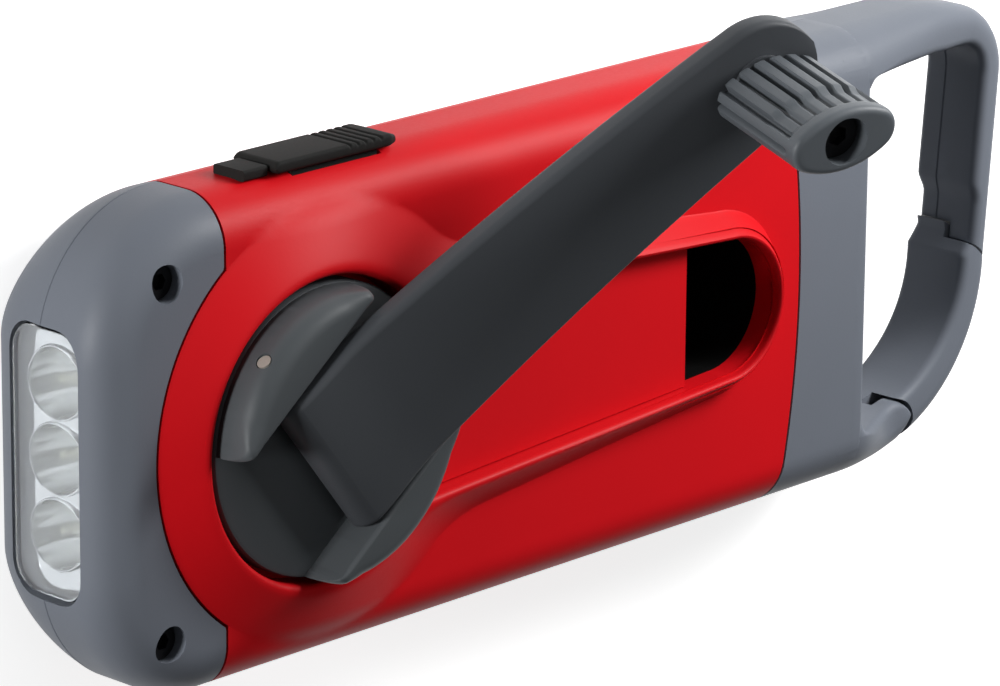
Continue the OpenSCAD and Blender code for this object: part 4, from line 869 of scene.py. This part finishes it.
# The lower limb ends in a round knuckle with a slot for the gate's tongue.
n_knuckle = 8
lower_run = straight_run((limb_root_x, -limb_y), 0, gate_mid[0] - limb_root_x, 30)
knuckle_bend = arc(gate_mid, gate_line_r, -90, gate_hinge_a, 8)
knuckle_reach = limb_half * np.sin(np.radians(np.linspace(0, 88, n_knuckle + 1)))[1:]
knuckle_width = np.sqrt(limb_half ** 2 - knuckle_reach ** 2) / limb_half
knuckle_way = np.array([-knuckle_bend[1][-1][1], knuckle_bend[1][-1][0]])
stub_path = np.concatenate([lower_run[0], knuckle_bend[0][1:],
                            gate_hinge + knuckle_reach[:, None] * knuckle_way])
stub_out = np.concatenate([-lower_run[1], knuckle_bend[1][1:], np.tile(knuckle_bend[1][-1], (n_knuckle, 1))])
lower_rise = smooth((lower_blend_x - stub_path[:, 0]) / (lower_blend_x - tail_end + blend_past))
stub_outlines = limb_outlines(stub_path, np.zeros(len(stub_path)), lower_rise)
stub_outlines[-n_knuckle:, :, 0] *= knuckle_width[:, None]
stub = shaped_piece("lower_stub", [(capped(swept(stub_path, stub_out, stub_outlines)), True)], grey_abs)
cut_out(stub, [upright_tool(*gate_hinge, slot_r, slot_low, slot_high, 64)])
tail = shaped_piece("tail_and_frame", [(capped(tail_grid), True)], grey_abs)
cut_out(tail, [upright_tool(x, y, screw_hole_r, below_back, tail_screw_seat) for x, y in tail_screws_at])
cut_out(tail, [frame_limb.data, stub.data], "UNION")
bpy.data.objects.remove(frame_limb)
bpy.data.objects.remove(stub)
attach(tail, "body")
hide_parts("tail_front", "tail_rear")


# Carabiner gate: the sprung finger that closes the carabiner, in the tail's satin grey ABS. It is an arc
# with the limb's section. Its tongue turns on a pin in the stub's slot; its free end is stepped, longer
# behind than in front, and its inner side slopes down to the nose that it meets.
gate_end_a, gate_in, tip_a, tip_run_a, tip_in = 16.0, 0.6, 0.5, 7.0, 1.3
tongue_low, tongue_high, gate_bore_r = 8.9, 11.3, 0.85
leg_z, leg_bore_r, leg_reach, leg_gap = 12.68, 0.4, 5.6, 0.1
n_gate = 72
gate_bend = arc(gate_mid, gate_line_r, gate_hinge_a, gate_end_a, n_gate)
gate_path = np.concatenate([gate_hinge - knuckle_reach[::-1, None] * knuckle_way, gate_bend[0]])
gate_out = np.concatenate([np.tile(gate_bend[1][0], (n_knuckle, 1)), gate_bend[1]])
gate_turn = np.concatenate([np.full(n_knuckle, gate_hinge_a), np.linspace(gate_hinge_a, gate_end_a, n_gate)])
gate_tip = np.clip((gate_turn - tip_a) / tip_run_a, 0, 1)
gate_thinner = gate_in * smooth((gate_path[:, 0] - far_from) / far_run_in)
gate_low = np.stack([-limb_half + gate_thinner + tip_in * gate_tip, limb_low + nose_up * gate_tip], -1)
gate_high = np.tile([limb_half - hair, limb_high], (len(gate_path), 1))
gate_corners = np.array([limb_r, limb_inner_r, limb_inner_r, limb_r])[None, :, None]
gate_outlines = rounded_box(gate_low, gate_high, np.tile(gate_corners, (len(gate_path), 1, 2)))
gate_outlines[:n_knuckle, :, 0] *= knuckle_width[::-1, None]
gate = shaped_piece("carabiner_gate", [(capped(swept(gate_path, gate_out, gate_outlines)), True)], grey_abs)
cut_out(gate, [gate_sweep(0.0)], "INTERSECT")
cut_out(gate, [upright_tool(*gate_hinge, slot_r, below_back, tongue_low),
               upright_tool(*gate_hinge, slot_r, tongue_high, above_tool)])


def wire(path, out, z, r):
    """A round wire of radius r along a plan path, at the height z of each of its points."""
    turn = np.radians(steps(0, 360, 16))[None]
    return capped(swept(path, out, np.dstack([np.repeat(r * np.cos(turn), len(path), 0),
                                              np.reshape(z, (-1, 1)) + r * np.sin(turn)])))


leg_hole = straight_run(gate_hinge, 90 + gate_hinge_a, leg_reach + leg_gap, 2)
cut_out(gate, [upright_tool(*gate_hinge, gate_bore_r, below_back, above_tool),
               tool_mesh(wire(*leg_hole, [leg_z, leg_z], leg_bore_r))])
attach(gate, "gate")
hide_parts("carabiner_gate")


# Gate spring: a torsion spring of drawn steel wire, bright where it shows in the slot. Its coil sits on
# the gate's pin. One leg bears in the stub; the other bears in the gate, so that leg rides with it.
wire_r, coil_r, coil_low, coil_turns, n_coil = 0.28, 1.45, 11.82, 1.5, 73
leg_start = coil_r + wire_r + leg_gap


def plain_finish(name, colour, roughness, metallic=0.0):
    """An even finish: one colour, its roughness swinging by gloss_swing either way in a faint mottle."""
    mottle_pitch, gloss_swing = 2.0, 0.04
    material, tree, out = new_material(name)
    place = add(tree, "ShaderNodeTexCoord").outputs["Object"]
    mottle = add(tree, "ShaderNodeTexNoise", {"Vector": place, "Scale": 1 / (mottle_pitch * MM),
                                              "Detail": 2.0})
    gloss = add(tree, "ShaderNodeMapRange", {"Value": mottle.outputs["Fac"],
                                             "To Min": roughness - gloss_swing,
                                             "To Max": roughness + gloss_swing})
    shader = add(tree, "ShaderNodeBsdfPrincipled", {"Base Color": linear(colour), "Metallic": metallic,
                                                    "Roughness": gloss.outputs["Result"]})
    tree.links.new(shader.outputs[0], out.inputs["Surface"])
    return material


# A clean metal gleam that shows the wire as round.
bright_steel = plain_finish("bright_drawn_steel", "#b9bcc0", 0.3, 1.0)
stub_leg_a = 270 + gate_hinge_a
coil_path, coil_out = arc(gate_hinge, coil_r, stub_leg_a, stub_leg_a + 360 * coil_turns, n_coil)
stub_leg = straight_run(gate_hinge + coil_r * coil_out[0], stub_leg_a, leg_reach - coil_r, 2)
gate_leg = straight_run(gate_hinge + leg_start * coil_out[-1], 90 + gate_hinge_a, leg_reach - leg_start, 2)
spring = shaped_piece("gate_spring", [
    (wire(coil_path, coil_out, np.linspace(coil_low, leg_z, n_coil), wire_r), True),
    (wire(*stub_leg, [coil_low, coil_low], wire_r), True)], bright_steel)
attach(spring, "body")
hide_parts("gate_spring")
spring_leg = shaped_piece("gate_spring_leg", [(wire(*gate_leg, [leg_z, leg_z], wire_r), True)], bright_steel)
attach(spring_leg, "gate")


# Crank drum: the dark grey turntable in the well. A disc carries two ears, which hold the arm's pin
# between them; their outer edges are broadly rounded. It is moulded in one piece with its shaft.
crank_a = math.radians(38.1)
drum_r, ear_r, drum_z, slot_z, ear_z = 15.3, 15.1, 18.6, 21.4, 26.1
slot_half, ear_round, ear_crease, ear_end = 9.7, 2.2, 0.5, 1.5
ear_sunk, ear_least_h, ear_least_w, ear_foot_r, n_ear = 0.6, 0.3, 0.04, 0.005, 61
shaft_r, shaft_z = 3.0, 9.8
pin_r, pin_back, pin_z, pin_reach = 0.85, 2.5, 24.0, 20.0
arm_way = np.array([math.cos(crank_a), math.sin(crank_a), 0.0])
side_way = np.array([-math.sin(crank_a), math.cos(crank_a), 0.0])
up_way = np.array([0.0, 0.0, 1.0])
crank_axes = np.array([arm_way, side_way, up_way])
# A neutral dark grey, a shade lighter than the arm, with a dull sheen along the ears.
drum_abs = moulded_plastic("grained_dark_grey_abs", "#4a4e51", 0.5, 0.3, gloss_level=0.25)


def in_frame(grid, origin, axes):
    """Puts a grid from a local frame, whose axes are the rows, into place."""
    return np.asarray(origin) + grid @ np.asarray(axes)


def ear(side):
    """A segment of the drum's circle beyond the slot.

    Its section has a broad round outer edge, and its top falls in a quarter ellipse where the
    segment runs out to a point.
    """
    beta = math.acos(slot_half / ear_r) * np.sin(np.radians(np.linspace(-89, 89, n_ear)))
    width = np.maximum(ear_r * np.cos(beta) - slot_half, ear_least_w)
    top = slot_z + (ear_z - slot_z) * np.sqrt(1 - (1 - np.minimum(width / ear_end, 1)) ** 2)
    low = np.tile([slot_half, slot_z - ear_sunk], (n_ear, 1))
    high = np.stack([slot_half + width, np.maximum(top, slot_z - ear_least_h)], -1)
    tall = high[:, 1] - low[:, 1]
    outer = np.minimum(np.minimum(ear_round, 0.7 * width), 0.8 * tall)
    inner = np.minimum(np.minimum(ear_crease, 0.2 * width), 0.2 * tall)
    foot = np.full(n_ear, ear_foot_r)
    radii = np.stack([outer, inner, foot, foot], -1)
    section = rounded_box(low, high, np.repeat(radii[..., None], 2, 2), 9)
    along = np.repeat((ear_r * np.sin(beta))[None], section.shape[1], 0)
    local = np.dstack([along, side * section[..., 0].T, section[..., 1].T])
    return in_frame(capped(local), (0, 0, 0), crank_axes)


pin_turn = np.repeat(np.radians(steps(0, 360, 32))[:, None], 2, 1)
pin_across = np.tile([-pin_reach, pin_reach], (len(pin_turn), 1))
pin_bore = np.dstack([-pin_back + pin_r * np.cos(pin_turn), pin_across, pin_z + pin_r * np.sin(pin_turn)])


def joined(piece, mesh):
    """Adds a closed shape to a piece, sunk into it where the two meet."""
    work = bmesh.new()
    work.from_mesh(piece.data)
    work.from_mesh(mesh)
    work.to_mesh(piece.data)
    work.free()


drum = shaped_piece("crank_drum", [(ear(1), True), (ear(-1), True)], drum_abs)
cut_out(drum, [tool_mesh(capped(in_frame(pin_bore, (0, 0, 0), crank_axes)))])
joined(drum, piece_mesh("disc", [(revolved([
    (0, slot_z), (drum_r - 0.5, slot_z), (drum_r - 0.15, slot_z - 0.1), (drum_r, slot_z - 0.4),
    (drum_r, drum_z + 0.2), (drum_r - 0.2, drum_z), (shaft_r, drum_z), (shaft_r, shaft_z), (0, shaft_z)],
    160), True)]))
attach(drum, "crank")
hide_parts("crank_drum")


# Crank arm: a long dark plate that narrows to a round tip and bows a little. It is moulded in grained
# ABS with softly rounded edges, and its wide end thickens to a barrel round the hinge pin.
arm_len, arm_half, arm_tip_r = 57.8, 9.3, 6.8
arm_half_t, arm_bow, arm_edge = 1.3, 1.1, 0.8
barrel_r, barrel_run = 2.3, 9.0
pad_r, pad_h, pad_sunk = 3.2, 1.7, 0.5
arm_lift = math.radians(17.2)
# Darker and duller than the drum; the grain spreads the light evenly along the plate.
arm_abs = moulded_plastic("grained_black_grey_abs", "#404347", 0.55, 0.35, gloss_level=0.25)
arm_hinge = -pin_back * arm_way + pin_z * up_way
arm_axes = np.array([math.cos(arm_lift) * arm_way + math.sin(arm_lift) * up_way, side_way,
                     -math.sin(arm_lift) * arm_way + math.cos(arm_lift) * up_way])
barrel_turn = np.radians(np.linspace(2, 88, 9))
tip_turn = np.radians(np.linspace(0, 89, 22))
arm_u = np.concatenate([-barrel_r * np.cos(barrel_turn), np.linspace(0, arm_len, 50)[:-1],
                        arm_len + arm_tip_r * np.sin(tip_turn)])
arm_mid = np.where(arm_u > 0, -4 * arm_bow * (arm_u / arm_len) * (1 - arm_u / arm_len), 0)
arm_thick = arm_half_t + (barrel_r - arm_half_t) * (1 - smooth(arm_u / barrel_run))
arm_thick = np.where(arm_u < 0, np.sqrt(np.maximum(barrel_r ** 2 - arm_u ** 2, 0)), arm_thick)
arm_wide = arm_half + (arm_tip_r - arm_half) * np.clip(arm_u / arm_len, 0, 1)
arm_tip = np.sqrt(np.maximum(arm_tip_r ** 2 - (arm_u - arm_len) ** 2, 0))
arm_wide = np.where(arm_u > arm_len, arm_tip, arm_wide)
arm_corner = np.minimum(arm_edge, 0.9 * np.minimum(arm_thick, arm_wide))
arm_low = np.stack([-arm_wide, arm_mid - arm_thick], -1)
arm_high = np.stack([arm_wide, arm_mid + arm_thick], -1)
arm_grid = along_x(arm_u, rounded_box(arm_low, arm_high, even_radii(arm_corner), 6))
pad_grid = revolved([(0, -pad_sunk), (pad_r, -pad_sunk), (pad_r, pad_h), (0, pad_h)], 48, (arm_len, 0))
crank_arm = shaped_piece("crank_arm", [(in_frame(capped(arm_grid), arm_hinge, arm_axes), True),
                                       (in_frame(pad_grid, arm_hinge, arm_axes), True)], arm_abs)
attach(crank_arm, "arm")
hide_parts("crank_arm")


# Knob: an oval grip with ribs along it, which spins on a shoulder screw. It is moulded in grey ABS; its
# end is a plain grained cap, and on the upper broad side the ribs step down towards that cap.
knob_low, knob_high = 2.1, 16.4
knob_tall = knob_high - knob_low
knob_turn = math.radians(-27)
end_c, end_r, broad_r, broad_b = 3.8, 2.4, 10.12, 3.4
rib_count, groove_deep, groove_share = 16, 0.85, 0.17
cap_t, cap_round, foot_round = 1.5, 0.7, 0.6
rib_end, rib_fade, cap_rows = 1.2, 0.9, 0.5
step_at, step_deep, step_run, broad_from, broad_soft = 0.6, 0.45, 0.7, 0.75, 0.12
hole_r, hole_deep, axle_r = 2.55, 3.2, 1.5
# The lightest of the three crank greys; its ribs show as bands of light and dark.
knob_abs = moulded_plastic("grained_mid_grey_abs", "#565b60", 0.5, 0.3)

# The oval is five arcs, each with its own middle and bulge; facing is the direction outwards at each point,
# and run the way along the outline, which the ribs divide evenly.
meet = math.atan2(broad_r - broad_b, end_c)
arc_ends = np.array([0, meet, math.pi - meet, math.pi + meet, 2 * math.pi - meet, 2 * math.pi])
arc_radii = np.array([end_r, broad_r, end_r, broad_r, end_r])
arc_runs = np.concatenate([[0], np.cumsum(np.diff(arc_ends) * arc_radii)])
run = steps(0, arc_runs[-1], rib_count * 16)
facing = np.interp(run, arc_runs, arc_ends)
on_end = np.abs(np.cos(facing)) > math.cos(meet)
mid_a = np.where(on_end, end_c * np.sign(np.cos(facing)), 0)
mid_b = np.where(on_end, 0, -(broad_r - broad_b) * np.sign(np.sin(facing)))
bulge = np.where(on_end, end_r, broad_r)
oval = np.stack([mid_a + bulge * np.cos(facing), mid_b + bulge * np.sin(facing)], -1)
oval_out = np.stack([np.cos(facing), np.sin(facing)], -1)
rib_phase = (run / arc_runs[-1] * rib_count + 0.5) % 1 - 0.5
groove = np.exp(-(rib_phase / groove_share) ** 4)[:, None]
upper_side = smooth((np.sin(facing) - broad_from) / broad_soft)[:, None]

# Rows from the foot to the cap, and how far each draws the outline in: the rounded foot and cap, the
# grooves between the ribs, and the step on the upper side.
cap_roll = np.radians(np.linspace(0, 90, 7))
rise = np.concatenate([np.linspace(0, foot_round, 6),
                       np.linspace(foot_round, knob_tall - cap_t - rib_end, 26)[1:],
                       knob_tall - cap_t + np.linspace(-rib_end, cap_rows, 9)[1:],
                       knob_tall - cap_round * (1 - np.sin(cap_roll))])[None]
foot = foot_round - np.sqrt(foot_round ** 2 - np.maximum(foot_round - rise, 0) ** 2)
into_cap = np.maximum(rise - (knob_tall - cap_round), 0)
cap = cap_round - np.sqrt(np.maximum(cap_round ** 2 - into_cap ** 2, 0))
ribbed = 1 - smooth((rise - (knob_tall - cap_t - rib_fade)) / rib_fade)
stepped = smooth((rise - step_at * knob_tall) / step_run) * ribbed
draw_in = foot + cap + groove * groove_deep * ribbed + upper_side * step_deep * stepped * (1 - groove)
knob_side = oval[:, None] - oval_out[:, None] * draw_in[..., None]
hole_ring = oval_out[:, None] * np.array([hole_r, hole_r, axle_r, axle_r])[None, :, None]
end_rows = knob_side[:, -1:] + (hole_ring[:, :1] - knob_side[:, -1:]) * np.linspace(0, 1, 6)[None, 1:-1, None]
base_rows = knob_side[:, :1] * np.array([axle_r / 6, 0.55])[None, :, None]
knob_plan = np.concatenate([base_rows, knob_side, end_rows, hole_ring], 1)
knob_z = np.concatenate([[0, 0], rise[0], np.full(5, rise[0, -1]), np.full(2, knob_tall - hole_deep), [0]])
knob_grid = np.dstack([knob_plan, np.repeat(knob_low + knob_z[None], len(run), 0)])
knob_axes = np.array([math.cos(knob_turn) * arm_axes[0] + math.sin(knob_turn) * arm_axes[1],
                      -math.sin(knob_turn) * arm_axes[0] + math.cos(knob_turn) * arm_axes[1], arm_axes[2]])
knob = shaped_piece("knob", [(in_frame(knob_grid, arm_hinge + arm_len * arm_axes[0], knob_axes), True)],
                    knob_abs)
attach(knob, "knob")
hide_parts("knob")


# Port cover: a flap of black rubber over the charging socket, with plain grip ribs, a plug underneath
# and chamfers at its free end. A short strip of the same rubber tethers it to the shell.
port_z = 13.6
flap_x0, flap_x1, flap_low, flap_high = -1.6, 15.1, 10.5, 16.7
flap_under, flap_top = half_w + 0.1, half_w + 1.4
flap_edge, flap_chamfer, chamfer_side, chamfer_top = 0.4, 1.2, 0.6, 0.4
grip_x0, grip_x1, grip_pitch, grip_deep, grip_narrow = 7.6, 13.2, 1.1, 0.22, 1.6
plug_half_x, plug_half_z, plug_deep, plug_edge, port_x = 6.0, 2.3, 1.5, 0.05, 6.6
strip_x0, strip_x1, strip_half, strip_t, strip_edge = -5.85, -2.6, 2.2, 1.04, 0.3
rubber_sunk = 0.1
# A deep black without shine, so the grip ribs show only as soft lines.
rubber = moulded_plastic("moulded_black_rubber", "#171716", 0.75, 0.25, gloss_level=0.15)
flap_half_t = (flap_top - flap_under) / 2
hinge_turn = np.radians(np.linspace(3, 85, 7))
flap_x = np.concatenate([flap_x0 - flap_half_t * np.cos(hinge_turn), np.linspace(flap_x0, grip_x0, 8),
                         np.linspace(grip_x0, grip_x1, 71)[1:], np.linspace(grip_x1, flap_x1, 8)[1:]])
hinge_half = np.sqrt(np.maximum(flap_half_t ** 2 - (flap_x - flap_x0) ** 2, 0))
hinge_in = np.where(flap_x < flap_x0, flap_half_t - hinge_half, 0)
end_in = np.clip((flap_x - flap_x1 + flap_chamfer) / flap_chamfer, 0, 1)
off_groove = np.abs(2 * (((flap_x - grip_x0) / grip_pitch) % 1) - 1)
grip = np.where((flap_x > grip_x0) & (flap_x < grip_x1), grip_deep * smooth(1 - off_groove * grip_narrow), 0)
flap_lows = np.stack([flap_low + chamfer_side * end_in, flap_under + hinge_in], -1)
flap_highs = np.stack([flap_high - chamfer_side * end_in,
                       flap_top - hinge_in - chamfer_top * end_in - grip], -1)
flap_r = np.minimum(flap_edge, 0.45 * (flap_highs - flap_lows)[:, 1])
flap_section = rounded_box(flap_lows, flap_highs, even_radii(flap_r), 5)


def along_side(stations, outlines):
    """Outlines in Z and Y, one at each X, as a tube."""
    return along_x(stations, outlines[..., ::-1])


def side_block(x0, x1, low, high, r):
    """A block on the narrow side from x0 to x1 and from (Z, Y) low to high, its long edges rounded by r."""
    section = rounded_box(np.tile(low, (2, 1)), np.tile(high, (2, 1)), even_radii([r, r]), 5)
    return capped(along_side([x0, x1], section))


plug = side_block(port_x - plug_half_x, port_x + plug_half_x, (port_z - plug_half_z, flap_under - plug_deep),
                  (port_z + plug_half_z, flap_under + rubber_sunk), plug_edge)
flap = capped(along_side(flap_x, flap_section))
port_cover = shaped_piece("port_cover", [(flap, True), (plug, True)], rubber)
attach(port_cover, "port_flap")
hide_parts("port_cover")
strip = side_block(strip_x0, strip_x1, (port_z - strip_half, half_w - rubber_sunk),
                   (port_z + strip_half, half_w + strip_t), strip_edge)
tether = shaped_piece("port_cover_tether", [(strip, True)], rubber)
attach(tether, "body")
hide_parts("port_cover_tether")


# Power button: a small cap in the side of the front shell, in the arm's dark ABS. It lies a hair below the
# wall with a fine gap all round, and its outer edges are rounded.
button_gap, button_edge, button_sunk, button_crease = 0.2, 0.4, 0.1, 0.05
button_x0, button_x1, button_top, button_foot = button_hole
button_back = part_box("power_button")[1][1] / MM
button_roll = np.radians(np.linspace(0, 90, 6))
roll_in = button_gap + button_edge * (1 - np.cos(button_roll))
face_in = button_sunk + button_edge * (1 - np.sin(button_roll))
button_x = np.concatenate([button_x0 + roll_in, (button_x1 - roll_in)[::-1]])
button_face = np.concatenate([face_in, face_in[::-1]]) - half_w
n_button = len(button_x)
button_low = np.stack([button_face, np.full(n_button, button_foot + button_gap)], -1)
button_high = np.tile([button_back, button_top - button_gap], (n_button, 1))
button_corners = np.array([button_crease, button_edge, button_edge, button_crease])[None, :, None]
button_outlines = rounded_box(button_low, button_high, np.tile(button_corners, (n_button, 1, 2)))
power_button = shaped_piece("power_button", [(capped(along_x(button_x, button_outlines)), True)], arm_abs)
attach(power_button, "button")
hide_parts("power_button")


# Pins and screws: they keep their CAD shape. The arm's pin is cut from plain steel and dull; the other pins,
# the washer and the screws inside are bright, and the screws that show are blackened.
def finish_nodes(material, *nodes):
    """Gives CAD nodes a material."""
    for node in nodes:
        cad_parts[node].data.materials.clear()
        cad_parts[node].data.materials.append(material)


# A warm, dull grey spot at the end of the bore in each ear.
finish_nodes(plain_finish("dull_cut_steel", "#a5a198", 0.6, 0.3), "arm_hinge_pin")
finish_nodes(bright_steel, "gate_pin", "knob_washer", "gear_pins", "drive_screw", "board_screws")
# Nearly black with a thin gleam, so a screw shows as a dark dot in its hole.
finish_nodes(plain_finish("black_oxide_steel", "#17171a", 0.42, 0.6),
             "head_screws", "case_screws", "tail_screws", "knob_screw")


# Lamps, boards and cells: the electric parts inside, in their CAD shape. The LEDs stand in the reflector's
# cups, the boards are glass fibre under a green coat, and the cells are sleeved.
# A warm milky white, soft against the mirror round it.
finish_nodes(plain_finish("milky_led_epoxy", "#f3f0d6", 0.25), "leds")
# A deep green with a lacquer's sheen.
finish_nodes(plain_finish("green_circuit_board", "#2b6238", 0.45), "led_board", "main_board", "switch_board")
finish_nodes(bright_steel, "battery_tabs", "usb_socket")
# The power switch's own black; the same material is painted shade in the knob's pocket.
finish_nodes(black_abs_and_painted_shade, "power_switch")
# An even, slightly glossy blue.
finish_nodes(plain_finish("blue_shrink_sleeve", "#2f62a8", 0.4), "battery_cells")
# A soft red, browner than the shell.
finish_nodes(plain_finish("red_wire_insulation", "#a82a26", 0.45), "inner_wires")


# Gear train and generator: the moving parts under the drum, in their CAD shape. The gears are nylon on
# steel pins, the crank turns in a bronze bush, and the rotor's magnet turns inside a wound stator.
# A dull gold.
finish_nodes(plain_finish("sintered_bronze", "#a98544", 0.45, 1.0), "crank_bush")
# A creamy white that shows the teeth by their shade.
finish_nodes(plain_finish("white_gear_nylon", "#e2ded0", 0.45),
             "drive_gear", "first_gear", "second_gear", "rotor_hub")
# A flat, stony grey-black.
finish_nodes(plain_finish("black_ferrite", "#3b3c40", 0.55), "rotor_magnet")
# A darker metal than the pins, with a broad sheen.
finish_nodes(plain_finish("stamped_stator_steel", "#8b8e93", 0.4, 1.0), "stator_core")
# A warm, shiny brown.
finish_nodes(plain_finish("enamelled_copper_wire", "#a85a2a", 0.35, 1.0), "stator_coil")
